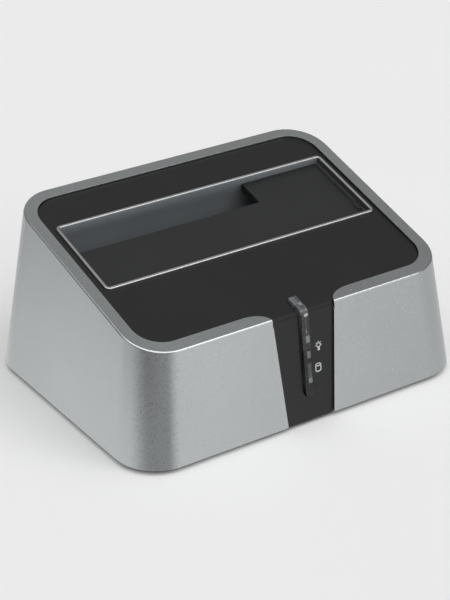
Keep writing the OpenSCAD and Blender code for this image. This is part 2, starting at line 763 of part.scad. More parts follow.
module chip_leads() {
  y0 = chip_w / 2 + 0.02;
  y1 = chip_w / 2 + 0.35 * lead_len;
  color([0.7, 0.7, 0.7]) translate([chip_x, chip_y, board_top + fit])
    for (q = [0:3], i = [-5.5:1:5.5]) rotate([0, 0, 90 * q]) translate([i * lead_pitch, 0, 0]) {
      box(-0.18, y0, 0.3, 0.18, y1, 0.5);
      box(-0.18, y1 - 0.15, 0, 0.18, y1, 0.5);
      box(-0.18, y1 - 0.15, 0, 0.18, chip_w / 2 + lead_len, 0.18);
    }
}

module crystal() {
  color([0.75, 0.75, 0.76]) translate([chip_x - 15, front_row, board_top + fit]) {
    linear_extrude(0.5) polygon(round_rect(-crystal_l / 2, -crystal_w / 2, crystal_l / 2, crystal_w / 2,
      crystal_w / 2 - 0.01, 8));
    linear_extrude(crystal_h) polygon(round_rect(0.5 - crystal_l / 2, 0.5 - crystal_w / 2,
      crystal_l / 2 - 0.5, crystal_w / 2 - 0.5, crystal_w / 2 - 0.51, 8));
  }
}

module filter_capacitors() {
  half = cap_r + 0.15;
  color([0.15, 0.16, 0.2]) for (i = [0, 1])
    translate([board_x0 + 11.5 + cap_pitch * i, front_row, board_top + fit]) {
      translate([-half, -half, 0]) cube([2 * half, 2 * half, 1]);
      cylinder(h = cap_h, r = cap_r);
    }
}

module power_inductor() {
  half = inductor_w / 2;
  color([0.2, 0.2, 0.21]) translate([-14, front_row, board_top + fit]) {
    linear_extrude(0.8) polygon(round_rect(-half, -half, half, half, 0.8, 6));
    cylinder(h = inductor_h - 0.2, r = half - 1);
    translate([0, 0, inductor_h - 1]) cylinder(h = 1, r = half - 0.1);
  }
}

module voltage_regulator() {
  half = regulator_d / 2;
  color([0.08, 0.08, 0.08]) translate([-34.5, io_back - 10, board_top + fit]) {
    box(-regulator_w / 2, -half, 0.1, regulator_w / 2, half, 0.1 + regulator_h);
    box(-1.5, half - 0.05, 0, 1.5, 2 * half, 0.3);
    for (x = [-2.3, 0, 2.3]) box(x - 0.35, -2 * half, 0, x + 0.35, 0.05 - half, 0.3);
  }
}

module small_parts() {
  front = [for (x = [-38:7:11]) [x, front_row + 8]];
  back = [for (x = [board_x1 - 10, board_x1 - 6], y = [board_y1 - 15, board_y1 - 12]) [x, y]];
  color([0.5, 0.4, 0.3]) for (p = concat(front, back))
    translate([p[0], p[1], board_top + fit]) box(-1, -0.6, 0, 1, 0.6, 0.6);
}

led_z0 = board_top + 0.8;

module led_board() {
  color([0.05, 0.3, 0.14])
    box(-7, lamp_y, led_z0, 7, lamp_y + 1.2, foot_h + lamp_high + 5);
}

module led_header() {
  color([0.06, 0.06, 0.06])
    box(-3.9, lamp_y + 1.2 + fit, board_top + fit, 3.9, lamp_y + 3.7, board_top + 2.6);
}

module header_pins() {
  color([0.83, 0.7, 0.35]) for (x = [-2.54, 0, 2.54]) {
    box(x - 0.3, lamp_y + 1.9, board_top + 2.6 + fit, x + 0.3, lamp_y + 2.5, board_top + 6);
    box(x - 0.3, lamp_y + 1.2 + fit, board_top + 5.4, x + 0.3, lamp_y + 2.5, board_top + 6);
  }
}

module status_leds() {
  color([0.85, 0.87, 0.9]) for (e = [lamp_low, lamp_high])
    translate([0, lamp_y - fit, foot_h + e * cos(front_ang)]) {
      rod_y(-1, 0, 1.9);
      rod_y(-2.6, 0, 1.5);
      translate([0, -2.6, 0]) sphere(r = 1.5);
    }
}

module rear_plate() {
  color([0.1, 0.1, 0.11]) difference() {
    union() {
      along_y(io_back, io_face,
        round_rect(0.2 - ports_w / 2, io_z0 + 0.2, ports_w / 2 - 0.2, io_z1 - 0.2, 1, 6));
      along_y(io_back, io_flange,
        round_rect(-ports_w / 2 - 1.5, base_top + fit, ports_w / 2 + 1.5, io_z1 + 1.5, 1, 6));
    }
    box(-usb_w / 2 - 0.2, io_back - 1, usb_z - 0.2, usb_w / 2 + 0.2, io_face + 1, usb_z + usb_h + 0.2);
    box(-port_pitch - jack_w / 2 - 0.2, io_back - 1, usb_z - 0.2, -port_pitch + jack_w / 2 + 0.2,
      io_face + 1, usb_z + jack_h + 0.2);
    translate([port_pitch, 0, button_z]) rod_y(io_back - 1, io_face + 1, button_r + 0.3);
  }
}

module usb_shell() {
  y0 = port_face - usb_d;
  color([0.78, 0.78, 0.79]) difference() {
    box(-usb_w / 2, y0, usb_z, usb_w / 2, port_face, usb_z + usb_h);
    box(usb_wall - usb_w / 2, y0 + usb_wall, usb_z + usb_wall, usb_w / 2 - usb_wall, port_face + 1,
      usb_z + usb_h - usb_wall);
  }
}

module usb_insert() {
  in = usb_wall + 0.05;
  half = usb_w / 2 - in;
  color([0.9, 0.9, 0.88]) union() {
    difference() {
      box(-half, port_face - usb_d + in, usb_z + in, half, port_face - 0.1, usb_z + usb_h - in);
      along_y(port_face - usb_reach, port_face + 1,
        [[1.35 - half, usb_z + 1.5], [half - 1.35, usb_z + 1.5], [half - 1.35, usb_z + usb_h - 3.3],
         [half - 2.9, usb_z + usb_h - 1.6], [2.9 - half, usb_z + usb_h - 1.6],
         [1.35 - half, usb_z + usb_h - 3.3]]);
    }
    box(-half / 2, port_face - usb_reach - 0.1, usb_z + 3.8, half / 2, port_face - 1.2, usb_z + 7);
  }
}

module usb_contacts() {
  y0 = port_face - usb_reach + 0.1;
  color([0.83, 0.7, 0.35]) for (x = [-1.25, 1.25]) {
    box(x - 0.5, y0, usb_z + 7.02, x + 0.5, port_face - 2, usb_z + 7.3);
    box(x - 0.5, y0, usb_z + 3.5, x + 0.5, port_face - 2, usb_z + 3.78);
  }
}

module dc_jack() {
  color([0.05, 0.05, 0.05]) difference() {
    box(-port_pitch - jack_w / 2, port_face - jack_d, usb_z, -port_pitch + jack_w / 2, port_face,
      usb_z + jack_h);
    translate([-port_pitch, 0, jack_z]) {
      rod_y(port_face - 9.5, port_face + 1, jack_r);
      rod_y(port_face - jack_d + 1, port_face - 9, jack_pin_r + 0.42);
    }
  }
}

module dc_jack_pin() {
  color([0.8, 0.76, 0.6]) translate([-port_pitch, 0, jack_z]) {
    rod_y(port_face - jack_d + 1.1, port_face - 9.5, jack_pin_r + 0.4);
    rod_y(port_face - 9.6, port_face - 1.2, jack_pin_r);
    translate([0, port_face - 1.2, 0]) rotate([-90, 0, 0])
      cylinder(h = 0.4, r1 = jack_pin_r, r2 = jack_pin_r - 0.35);
  }
}

module switch_body() {
  half = plunger_w / 2 + 0.1;
  color([0.12, 0.12, 0.13]) difference() {
    box(port_pitch - switch_w / 2, switch_y1 - switch_w, board_top + fit, port_pitch + switch_w / 2,
      switch_y1, board_top + fit + switch_h);
    box(port_pitch - half, switch_y1 - 6, button_z - half, port_pitch + half, switch_y1 + 1,
      button_z + half);
  }
}

module switch_plunger() {
  half = plunger_w / 2;
  color([0.85, 0.85, 0.83])
    box(port_pitch - half, switch_y1 - 4, button_z - half, port_pitch + half, cap_y0 + 2,
      button_z + half);
}

module button_spring() {
  echo(button_spring_least_gap = least_gap(button_path, button_wire));
  color([0.7, 0.7, 0.72]) wire_tube(button_path, button_wire, [0, 1, 0]);
}

module power_button() {
  color([0.13, 0.13, 0.14]) translate([port_pitch, 0, button_z]) difference() {
    union() {
      rod_y(cap_y0, cap_y1 - 0.4, button_r);
      translate([0, cap_y1 - 0.41, 0]) rotate([-90, 0, 0])
        cylinder(h = 0.41, r1 = button_r, r2 = button_r - 0.4);
    }
    box(-plunger_w / 2 - skin, cap_y0 - 1, -plunger_w / 2 - skin, plunger_w / 2 + skin, cap_y0 + 2 + fit,
      plunger_w / 2 + skin);
  }
}

upper_case();
top_panel();
slot_trim();
drive_well();
well_screws();
dust_flap();
flap_hinge_pin();
flap_spring();
light_pipe();
bottom_cover();
rubber_feet();
case_screws();
main_board();
board_screws();
sata_connector();
sata_contacts();
bridge_chip();
chip_leads();
crystal();
filter_capacitors();
power_inductor();
voltage_regulator();
small_parts();
led_board();
led_header();
header_pins();
status_leds();
rear_plate();
usb_shell();
usb_insert();
usb_contacts();
dc_jack();
dc_jack_pin();
switch_body();
switch_plunger();
button_spring();
power_button();
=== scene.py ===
"""Looks of a hard drive docking station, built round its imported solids.

Everything is in metres in the solids' own frame: +X to the right seen from the front, +Y back, +Z up.
Sizes that end in _mm are millimetres.
"""

import json
import logging
from dataclasses import dataclass
from enum import Enum
from functools import cache
from math import asin, cos, degrees, pi, radians, sin
from typing import Any, Iterable, Sequence

import bmesh
import bpy
from bmesh.types import BMVert, BMesh
from bpy.types import ID, Material, Mesh, MeshPolygon, Node, NodeSocket, NodeTree, Object
from mathutils import Matrix, Vector


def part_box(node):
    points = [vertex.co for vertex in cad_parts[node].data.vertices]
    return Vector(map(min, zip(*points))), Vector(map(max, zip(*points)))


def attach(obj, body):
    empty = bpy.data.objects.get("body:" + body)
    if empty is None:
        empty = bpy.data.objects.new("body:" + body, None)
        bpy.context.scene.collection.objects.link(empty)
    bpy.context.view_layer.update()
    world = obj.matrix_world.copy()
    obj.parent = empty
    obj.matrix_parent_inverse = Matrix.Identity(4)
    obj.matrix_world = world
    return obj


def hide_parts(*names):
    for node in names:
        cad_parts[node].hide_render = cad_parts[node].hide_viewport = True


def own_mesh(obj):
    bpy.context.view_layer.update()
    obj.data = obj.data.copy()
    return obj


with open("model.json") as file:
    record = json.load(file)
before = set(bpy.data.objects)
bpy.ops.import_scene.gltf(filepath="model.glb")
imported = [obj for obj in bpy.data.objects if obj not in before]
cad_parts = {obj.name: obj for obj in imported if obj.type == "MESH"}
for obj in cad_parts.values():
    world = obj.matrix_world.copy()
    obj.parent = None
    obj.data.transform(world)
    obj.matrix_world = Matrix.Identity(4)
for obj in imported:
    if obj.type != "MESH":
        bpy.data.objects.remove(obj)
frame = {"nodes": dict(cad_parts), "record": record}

LOG = logging.getLogger("dock")
MM = 0.001
TOP_ORIGIN_MM = (0.0, -43.2, 39.1)
TOP_TILT_DEG = 15.5025
MERGE_MM = 0.002
FLAT_DEG = 0.4
EDGE_SAMPLES = 6
WIRE_SIDES = 10
COIL_STEPS = 24
SHARP_DEG = 32
Colour = tuple[float, float, float, float]
Pair = tuple[float, float]
Point = tuple[float, float, float]


class Body(Enum):
    """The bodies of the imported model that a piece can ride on."""

    CASE = "case"
    FLAP = "flap"
    BUTTON = "button"


def srgb(red: float, green: float, blue: float) -> Colour:
    """Turn a colour of 0 to 255 per channel, as seen on a screen, into a linear one.

    Args:
        red: The red channel.
        green: The green channel.
        blue: The blue channel.

    Returns:
        The linear colour.
    """
    shares = [channel / 255 for channel in (red, green, blue)]
    lin = [s / 12.92 if s < 0.04045 else ((s + 0.055) / 1.055) ** 2.4 for s in shares]
    return (lin[0], lin[1], lin[2], 1.0)


def scaled(colour: Colour, share: float) -> Colour:
    """A colour made darker or paler by a share."""
    red, green, blue = (min(1.0, share * channel) for channel in colour[:3])
    return (red, green, blue, 1.0)


def bearing(azimuth_deg: float, rise_deg: float = 0.0) -> Vector:
    """The direction at an azimuth, from the front towards the right, and a height above the horizon."""
    turn, rise = radians(azimuth_deg), radians(rise_deg)
    return Vector((sin(turn) * cos(rise), -cos(turn) * cos(rise), sin(rise)))


def top_axes() -> tuple[Vector, Vector]:
    """The directions up the sloping top and straight away from it."""
    tilt = radians(TOP_TILT_DEG)
    return Vector((0, cos(tilt), sin(tilt))), Vector((0, -sin(tilt), cos(tilt)))


def metres(values_mm: Iterable[float]) -> tuple[float, ...]:
    """Lengths in millimetres as lengths in metres."""
    return tuple(v * MM for v in values_mm)


class Wire:
    """A value on a node's output; arithmetic on it adds Math nodes."""

    def __init__(self, graph: "Graph", socket: NodeSocket) -> None:
        """Keep the graph and the socket that the value comes from."""
        self.graph = graph
        self.socket = socket

    def _math(self, operation: str, first: "Wire | float", second: "Wire | float") -> "Wire":
        """Add one Math node and give its result."""
        return self.graph.wire("Math", {0: first, 1: second}, operation=operation)

    def __add__(self, other: "Wire | float") -> "Wire":
        """Sum."""
        return self._math("ADD", self, other)

    def __sub__(self, other: "Wire | float") -> "Wire":
        """Difference."""
        return self._math("SUBTRACT", self, other)

    def __rsub__(self, other: float) -> "Wire":
        """Difference from a number."""
        return self._math("SUBTRACT", other, self)

    def __mul__(self, other: "Wire | float") -> "Wire":
        """Product."""
        return self._math("MULTIPLY", self, other)

    __radd__ = __add__
    __rmul__ = __mul__

    def above(self, edge: "Wire | float") -> "Wire":
        """One where the value is above the edge, and zero elsewhere."""
        return self._math("GREATER_THAN", self, edge)

    def wrapped(self, span: float) -> "Wire":
        """The value's place within a repeating span, from 0 to the span."""
        return self._math("FLOORED_MODULO", self, span)

    def step(self, low: float, high: float) -> "Wire":
        """A smooth rise from 0 at low to 1 at high."""
        return self.graph.wire("MapRange", {"Value": self, "From Min": low, "From Max": high},
                               interpolation_type="SMOOTHSTEP")


class Graph:
    """A node tree whose nodes all come from one method."""

    family = "ShaderNode"

    def __init__(self, tree: NodeTree) -> None:
        """Keep the tree that nodes are added to."""
        self.tree = tree

    def node(self, kind: str, inputs: dict[str | int, Any] | None = None,
             **settings: Any) -> Node:
        """Add a node.

        Args:
            kind: The node's type, without its family unless it is a group's end.
            inputs: A value or a Wire for each socket.
            settings: Its properties, set before its sockets.

        Returns:
            The new node.
        """
        made = self.tree.nodes.new(kind if kind.startswith("NodeGroup") else self.family + kind)
        for key, value in settings.items():
            setattr(made, key, value)
        for key, value in (inputs or {}).items():
            if isinstance(value, Wire):
                self.tree.links.new(value.socket, made.inputs[key])
            else:
                made.inputs[key].default_value = value
        return made

    def wire(self, kind: str, inputs: dict[str | int, Any] | None = None, out: str | int = 0,
             **settings: Any) -> Wire:
        """Add a node and give one of its outputs."""
        return Wire(self, self.node(kind, inputs, **settings).outputs[out])

    def facing(self, way: Wire, towards: Vector) -> Wire:
        """How far a vector reaches towards a direction."""
        return self.wire("VectorMath", {0: way, 1: tuple(towards)}, "Value", operation="DOT_PRODUCT")

    def azimuth(self, way: Wire, middle_deg: float = 0.0) -> Wire:
        """The angle in degrees round the vertical from a bearing to a vector."""
        ahead, aside = self.facing(way, bearing(middle_deg)), self.facing(way, bearing(middle_deg + 90))
        return degrees(1) * self.wire("Math", {0: aside, 1: ahead}, operation="ARCTAN2")


class Recipe(Graph):
    """The node tree of one procedural material."""

    def __init__(self, name: str) -> None:
        """Start an empty material that reads Object coordinates."""
        self.material = bpy.data.materials.new(name)
        self.material.use_nodes = True
        super().__init__(self.material.node_tree)
        self.tree.nodes.clear()
        self.place = self.wire("TexCoord", out="Object")

    def axis(self, name: str) -> Wire:
        """One coordinate of the surface point, in metres."""
        return self.wire("SeparateXYZ", {0: self.place}, name)

    def noise(self, size_mm: float, detail: float = 2.0, stretch: Point = (1, 1, 1)) -> Wire:
        """Give soft noise from 0 to 1.

        Args:
            size_mm: The size of its features.
            detail: How many finer layers it has.
            stretch: How much finer it is along each axis.

        Returns:
            The noise's value.
        """
        where = self.wire("Mapping", {"Vector": self.place, "Scale": stretch})
        return self.wire("TexNoise", {"Vector": where, "Scale": 1000 / size_mm, "Detail": detail})

    def cells(self, size_mm: float) -> Wire:
        """A random colour in each of many small cells."""
        return self.wire("TexVoronoi", {"Vector": self.place, "Scale": 1000 / size_mm}, "Color")

    def mix(self, share: Wire | float, first: Colour | Wire, second: Colour | Wire) -> Wire:
        """A colour between two others."""
        return self.wire("Mix", {0: share, 6: first, 7: second}, 2, data_type="RGBA")

    def soft_edges(self, radius_mm: float) -> Wire:
        """A normal that turns softly over sharp edges, as on a moulding."""
        return self.wire("Bevel", {"Radius": radius_mm * MM}, samples=EDGE_SAMPLES)

    def bump(self, height: Wire, depth_mm: float, normal: Wire | None = None) -> Wire:
        """A normal bent by a height from 0 to 1 over the given depth."""
        bent = {"Height": height, "Strength": 1.0, "Distance": depth_mm * MM}
        return self.wire("Bump", {**bent, "Normal": normal} if normal else bent)

    def shader(self, **inputs: Any) -> Wire:
        """A Principled shader; spaces in socket names are written as underscores."""
        return self.wire("BsdfPrincipled", {key.replace("_", " "): v for key, v in inputs.items()})


@dataclass(frozen=True)
class Finish:
    """A surface finish, made once under its name."""

    name: str

    def material(self) -> Material:
        """Give the finish's material, which is made at its first use.

        Returns:
            The material.
        """
        if self.name not in bpy.data.materials:
            recipe = Recipe(self.name)
            recipe.node("OutputMaterial", {"Surface": self.surface(recipe)})
        return bpy.data.materials[self.name]

    def surface(self, recipe: Recipe) -> Wire:
        """Make the material's nodes.

        Args:
            recipe: The material's node tree.

        Returns:
            The shader.
        """
        raise NotImplementedError


@dataclass(frozen=True)
class FlakePaint(Finish):
    """Silver paint with fine flakes under a satin top."""

    colour: Colour
    roughness: float
    flake_mm: float = 0.17
    tilt: float = 0.05
    spark_tilt: float = 0.36
    sparks: Pair = (0.9, 1.0)
    edge_mm: float = 0.09
    cloud_mm: float = 24
    spread: float = 0.07
    tone_shares: Pair = (0.2, 0.6)
    gloss_shares: Pair = (0.06, 0.05)

    def surface(self, recipe: Recipe) -> Wire:
        """Tilt each flake a little, and vary the tone over larger patches."""
        flakes = recipe.cells(self.flake_mm)
        shift = recipe.wire("VectorMath", {0: flakes, 1: (0.5, 0.5, 0.5)}, operation="SUBTRACT")
        spark = recipe.wire("SeparateColor", {0: flakes}, 2)
        lean = self.tilt + self.spark_tilt * spark.step(*self.sparks)
        tilted = recipe.wire("VectorMath", {0: shift, 1: lean, 2: recipe.soft_edges(self.edge_mm)},
                             operation="MULTIPLY_ADD")
        normal = recipe.wire("VectorMath", {0: tilted}, operation="NORMALIZE")
        cloud = recipe.noise(self.cloud_mm, 3)
        by_spark, by_cloud = self.tone_shares
        tone = recipe.mix(by_spark * spark + by_cloud * cloud, scaled(self.colour, 1 - self.spread),
                          scaled(self.colour, 1 + self.spread))
        by_spark, by_cloud = self.gloss_shares
        return recipe.shader(
            Base_Color=tone, Metallic=1.0, Normal=normal,
            Roughness=self.roughness + by_cloud * (cloud - 0.5) + by_spark * (spark - 0.5))


@dataclass(frozen=True)
class MouldedPlastic(Finish):
    """Injection-moulded plastic with a fine spark-eroded grain."""

    colour: Colour
    roughness: float
    grain_mm: float = 0.3
    depth_mm: float = 0.006
    mottle: float = 0.12
    edge_mm: float = 0.02
    mark_mm: float = 18
    mark_gain: float = 1.25
    grain_gloss: float = 0.08

    def surface(self, recipe: Recipe) -> Wire:
        """Add the grain as bump, and faint handling marks as changes of gloss."""
        grain = recipe.noise(self.grain_mm, 2)
        marks = recipe.noise(self.mark_mm, 4)
        return recipe.shader(
            Base_Color=self.tone(recipe, marks),
            Normal=recipe.bump(grain, self.depth_mm, recipe.soft_edges(self.edge_mm)),
            Roughness=self.roughness + self.mottle * (marks - 0.5) + self.grain_gloss * (grain - 0.5))

    def tone(self, recipe: Recipe, marks: Wire) -> Wire:
        """The colour, a little paler at the marks."""
        return recipe.mix(marks, self.colour, scaled(self.colour, self.mark_gain))


@dataclass(frozen=True)
class PaintedLightPlastic(MouldedPlastic):
    """Moulded plastic with painted light: paler towards the mouth of the slot, fading to its own colour
    deeper down.
    """

    gain: float = 2.1
    span_mm: Pair = (-5.5, 1.5)

    def tone(self, recipe: Recipe, marks: Wire) -> Wire:
        """The colour, with painted light: paler by the gain towards the plane of the sloping top.

        Args:
            recipe: The material's node tree.
            marks: The handling marks, from 0 to 1.

        Returns:
            The colour.
        """
        _, away = top_axes()
        low, high = ((away.dot(Vector(TOP_ORIGIN_MM)) + edge) * MM for edge in self.span_mm)
        # Painted light: the surface is paler the nearer it lies to the top of the slot.
        painted_light = recipe.facing(recipe.place, away).step(low, high)
        return recipe.mix(painted_light, super().tone(recipe, marks), scaled(self.colour, self.gain))


@dataclass(frozen=True)
class PlatedMetal(Finish):
    """Bare or plated metal with fine drawing lines."""

    colour: Colour
    roughness: float
    stretch: Point = (0.05, 1, 1)
    line_mm: float = 0.12
    depth_mm: float = 0.0015
    tarnish_mm: float = 4
    tarnish_share: float = 0.82
    tarnish_gloss: float = 0.1
    line_gloss: float = 0.14

    def surface(self, recipe: Recipe) -> Wire:
        """Lay drawing lines along one axis, and a slight tarnish over patches."""
        lines = recipe.noise(self.line_mm, 3, self.stretch)
        tarnish = recipe.noise(self.tarnish_mm, 3)
        dull = scaled(self.colour, self.tarnish_share)
        return recipe.shader(
            Base_Color=recipe.mix(tarnish, dull, self.colour), Metallic=1.0,
            Normal=recipe.bump(lines, self.depth_mm),
            Roughness=(self.roughness + self.line_gloss * (lines - 0.5)
                       + self.tarnish_gloss * (tarnish - 0.5)))


@dataclass(frozen=True)
class FrostAndPaintedGlint:
    """A pale patch on clear plastic, used for frosting and for painted glints: its span across, back and
    up, and how white it is.
    """

    share: float
    x_mm: Pair = (-50, 50)
    y_mm: Pair = (-80, 80)
    z_mm: Pair = (-10, 90)


@dataclass(frozen=True)
class ClearPlastic(Finish):
    """Clear moulded plastic, frosted where light has to come out, and with painted glints as pale patches.
    """

    colour: Colour
    roughness: float = 0.05
    frosts_and_glints: tuple[FrostAndPaintedGlint, ...] = ()
    soft_mm: float = 0.2
    ripple_mm: float = 2.5
    patch_dark: Colour = srgb(176, 180, 184)
    patch_pale: Colour = srgb(206, 210, 214)
    patch_rough: float = 0.5
    bending: float = 1.49

    def surface(self, recipe: Recipe) -> Wire:
        """Mix clear plastic with its frosted patches and painted glints."""
        ripple = recipe.noise(self.ripple_mm, 2)
        surface = recipe.shader(Base_Color=self.colour, Transmission_Weight=1.0, IOR=self.bending,
                                Roughness=self.roughness + 0.03 * ripple)
        pale = recipe.shader(Base_Color=recipe.mix(ripple, self.patch_dark, self.patch_pale),
                             Roughness=self.patch_rough)
        for region in self.frosts_and_glints:
            cover = region.share
            for name, span in (("X", region.x_mm), ("Y", region.y_mm), ("Z", region.z_mm)):
                rise, fall = (recipe.axis(name).step((edge - self.soft_mm) * MM, (edge + self.soft_mm) * MM)
                              for edge in span)
                cover = cover * rise * (1 - fall)
            surface = recipe.wire("MixShader", {0: cover, 1: surface, 2: pale})
        return surface


@dataclass(frozen=True)
class SolderMask(Finish):
    """A circuit board's green lacquer over copper tracks."""

    colour: Colour
    track_mm: float = 2.6
    track_gain: float = 1.9
    track_edge: Pair = (0.05, 0.09)
    pad_density: float = 0.7
    pad_edge: Pair = (0.11, 0.13)
    lift_mm: float = 0.03
    pad_colour: Colour = srgb(176, 174, 166)

    def surface(self, recipe: Recipe) -> Wire:
        """Show tracks as paler raised lines, and tinned pads among them."""
        gap = recipe.wire("TexVoronoi", {
            "Vector": recipe.place, "Scale": 1000 / self.track_mm, "Randomness": 0.55},
            feature="DISTANCE_TO_EDGE")
        track = 1 - gap.step(*self.track_edge)
        pad = recipe.wire("TexVoronoi", {
            "Vector": recipe.place, "Scale": self.pad_density * 1000 / self.track_mm, "Randomness": 0.4},
            distance="CHEBYCHEV")
        tinned = 1 - pad.step(*self.pad_edge)
        lacquer = recipe.mix(track, self.colour, scaled(self.colour, self.track_gain))
        return recipe.shader(
            Base_Color=recipe.mix(tinned, lacquer, self.pad_colour), Metallic=0.9 * tinned,
            Roughness=0.32 + 0.1 * recipe.noise(6, 3), Normal=recipe.bump(track, self.lift_mm))


@dataclass(frozen=True)
class MarkedCan(Finish):
    """An aluminium capacitor can with a dark half round mark on top."""

    colour: Colour
    first_mm: float
    pitch_mm: float
    top_mm: float
    mark_from_mm: float = 1.2
    mark_deep_mm: float = 0.4
    mark_colour: Colour = srgb(34, 34, 38)
    drawn_mm: float = 0.15
    depth_mm: float = 0.003

    def surface(self, recipe: Recipe) -> Wire:
        """Print the mark on the top face only, on the same side of each can."""
        half = self.pitch_mm / 2
        across = (recipe.axis("X") - (self.first_mm - half) * MM).wrapped(self.pitch_mm * MM)
        side = across.above((half + self.mark_from_mm) * MM)
        mark = side * recipe.axis("Z").above((self.top_mm - self.mark_deep_mm) * MM)
        drawn = recipe.noise(self.drawn_mm, 2, (1, 1, 0.05))
        return recipe.shader(
            Base_Color=recipe.mix(mark, self.colour, self.mark_colour), Metallic=1 - mark,
            Roughness=0.28 + 0.2 * drawn, Normal=recipe.bump(drawn, self.depth_mm))


@dataclass(frozen=True)
class PrintInk(Finish):
    """Pad-printed ink, slightly uneven."""

    colour: Colour
    patch_mm: float = 0.5
    thin_share: float = 0.8

    def surface(self, recipe: Recipe) -> Wire:
        """Thin the ink a little over small patches."""
        patch = recipe.noise(self.patch_mm, 3)
        thin = scaled(self.colour, self.thin_share)
        return recipe.shader(Base_Color=recipe.mix(patch, thin, self.colour), Roughness=0.45 + 0.2 * patch)


@dataclass(frozen=True)
class DimSide:
    """The dim side of the room, behind the camera: the azimuths where it fades in and out."""

    into_deg: Pair = (-100, -46)
    out_deg: Pair = (-6, 26)

    def cover(self, graph: Graph, way: Wire) -> Wire:
        """One in the dim side, and zero outside."""
        angle = graph.azimuth(way)
        return angle.step(*self.into_deg) * (1 - angle.step(*self.out_deg))


@dataclass(frozen=True)
class Flag:
    """A dark cloth on the floor that only gloss shows: a sector that opens from an apex."""

    apex_mm: Point
    side: DimSide
    share: float


@dataclass(frozen=True)
class PaleFloor(Finish):
    """The plain pale sheet that the object stands on; gloss shows it at an even level, with its flags."""

    colour: Colour
    gloss_level: float = 0.84
    flags: tuple[Flag, ...] = (Flag((-54.0, -40.0, 0.0), DimSide(), 0.52),
                               Flag((-310.8, 353.7, 0.0), DimSide((32, 46), (70, 90)), 0.24))
    fall_deg: float = -100.0
    fall_mm: Pair = (55.0, 260.0)
    fall_share: float = 0.29
    patch_mm: float = 120.0
    patch_share: float = 0.985

    def surface(self, recipe: Recipe) -> Wire:
        """Keep it matt and almost even for the eye, and plain for gloss."""
        dull = scaled(self.colour, self.patch_share)
        tone = recipe.mix(recipe.noise(self.patch_mm, 2), dull, self.colour)
        sheet = recipe.shader(Base_Color=tone, Roughness=0.9, Specular_IOR_Level=0.0)
        start, end = metres(self.fall_mm)
        level = self.gloss_level * (1 - self.fall_share * recipe.facing(
            recipe.place, bearing(self.fall_deg)).step(start, end))
        for flag in self.flags:
            away = recipe.wire("VectorMath", {0: recipe.place, 1: metres(flag.apex_mm)},
                               operation="SUBTRACT")
            level = level * (1 - flag.share * flag.side.cover(recipe, away))
        plain = recipe.wire("Emission", {"Strength": level})
        recipe.material.cycles.emission_sampling = "NONE"
        gloss = recipe.wire("LightPath", out="Is Glossy Ray")
        return recipe.wire("MixShader", {0: gloss, 1: sheet, 2: plain})


SILVER = FlakePaint("silver_paint", (0.53, 0.553, 0.556, 1), 0.2)
BLACK_PANEL = MouldedPlastic("panel_plastic", srgb(8, 8, 9), 0.36)
BLACK_BEND = MouldedPlastic("panel_bend", srgb(8, 8, 9), 0.66)
BLACK_FLAP = MouldedPlastic("flap_plastic", srgb(21, 22, 22), 0.38)
BLACK_INNER = MouldedPlastic("inner_plastic", srgb(24, 24, 25), 0.4)
# The well's plastic has painted light: it is paler towards the top of the slot and darker deeper down.
WELL_PLASTIC = PaintedLightPlastic("well_plastic", srgb(112, 116, 119), 0.35)
SLOT_PLASTIC = MouldedPlastic("slot_plastic", srgb(96, 98, 100), 0.4)
BLACK_CONNECTOR = MouldedPlastic("connector_plastic", srgb(22, 22, 23), 0.45, 0.2)
WHITE_PLASTIC = MouldedPlastic("white_nylon", srgb(214, 213, 206), 0.45, 0.2)
RUBBER = MouldedPlastic("foot_rubber", srgb(24, 24, 24), 0.8, 0.5, 0.02)
CHIP_EPOXY = MouldedPlastic("chip_epoxy", srgb(24, 24, 25), 0.6, 0.1, 0.004)
FERRITE = MouldedPlastic("ferrite", srgb(58, 58, 60), 0.7, 0.25, 0.01)
CERAMIC = MouldedPlastic("ceramic", srgb(128, 100, 72), 0.5, 0.3, 0.004)
TRIM_METAL = PlatedMetal("trim_plating", (0.54, 0.54, 0.54, 1), 0.3)
SCREW_ZINC = PlatedMetal("screw_zinc", (0.5, 0.5, 0.5, 1), 0.34, (1, 1, 0.1))
SPRING_STEEL = PlatedMetal("spring_steel", (0.6, 0.6, 0.61, 1), 0.26)
NICKEL = PlatedMetal("nickel", (0.66, 0.65, 0.62, 1), 0.24, (1, 0.05, 1))
TIN = PlatedMetal("tin", (0.62, 0.62, 0.63, 1), 0.34)
GOLD = PlatedMetal("gold", (0.83, 0.58, 0.2, 1), 0.24, (1, 1, 0.05))
BOARD_GREEN = SolderMask("solder_mask", (0.006, 0.07, 0.025, 1))
LAMP_EPOXY = ClearPlastic("lamp_epoxy", (0.9, 0.93, 0.95, 1), 0.08)
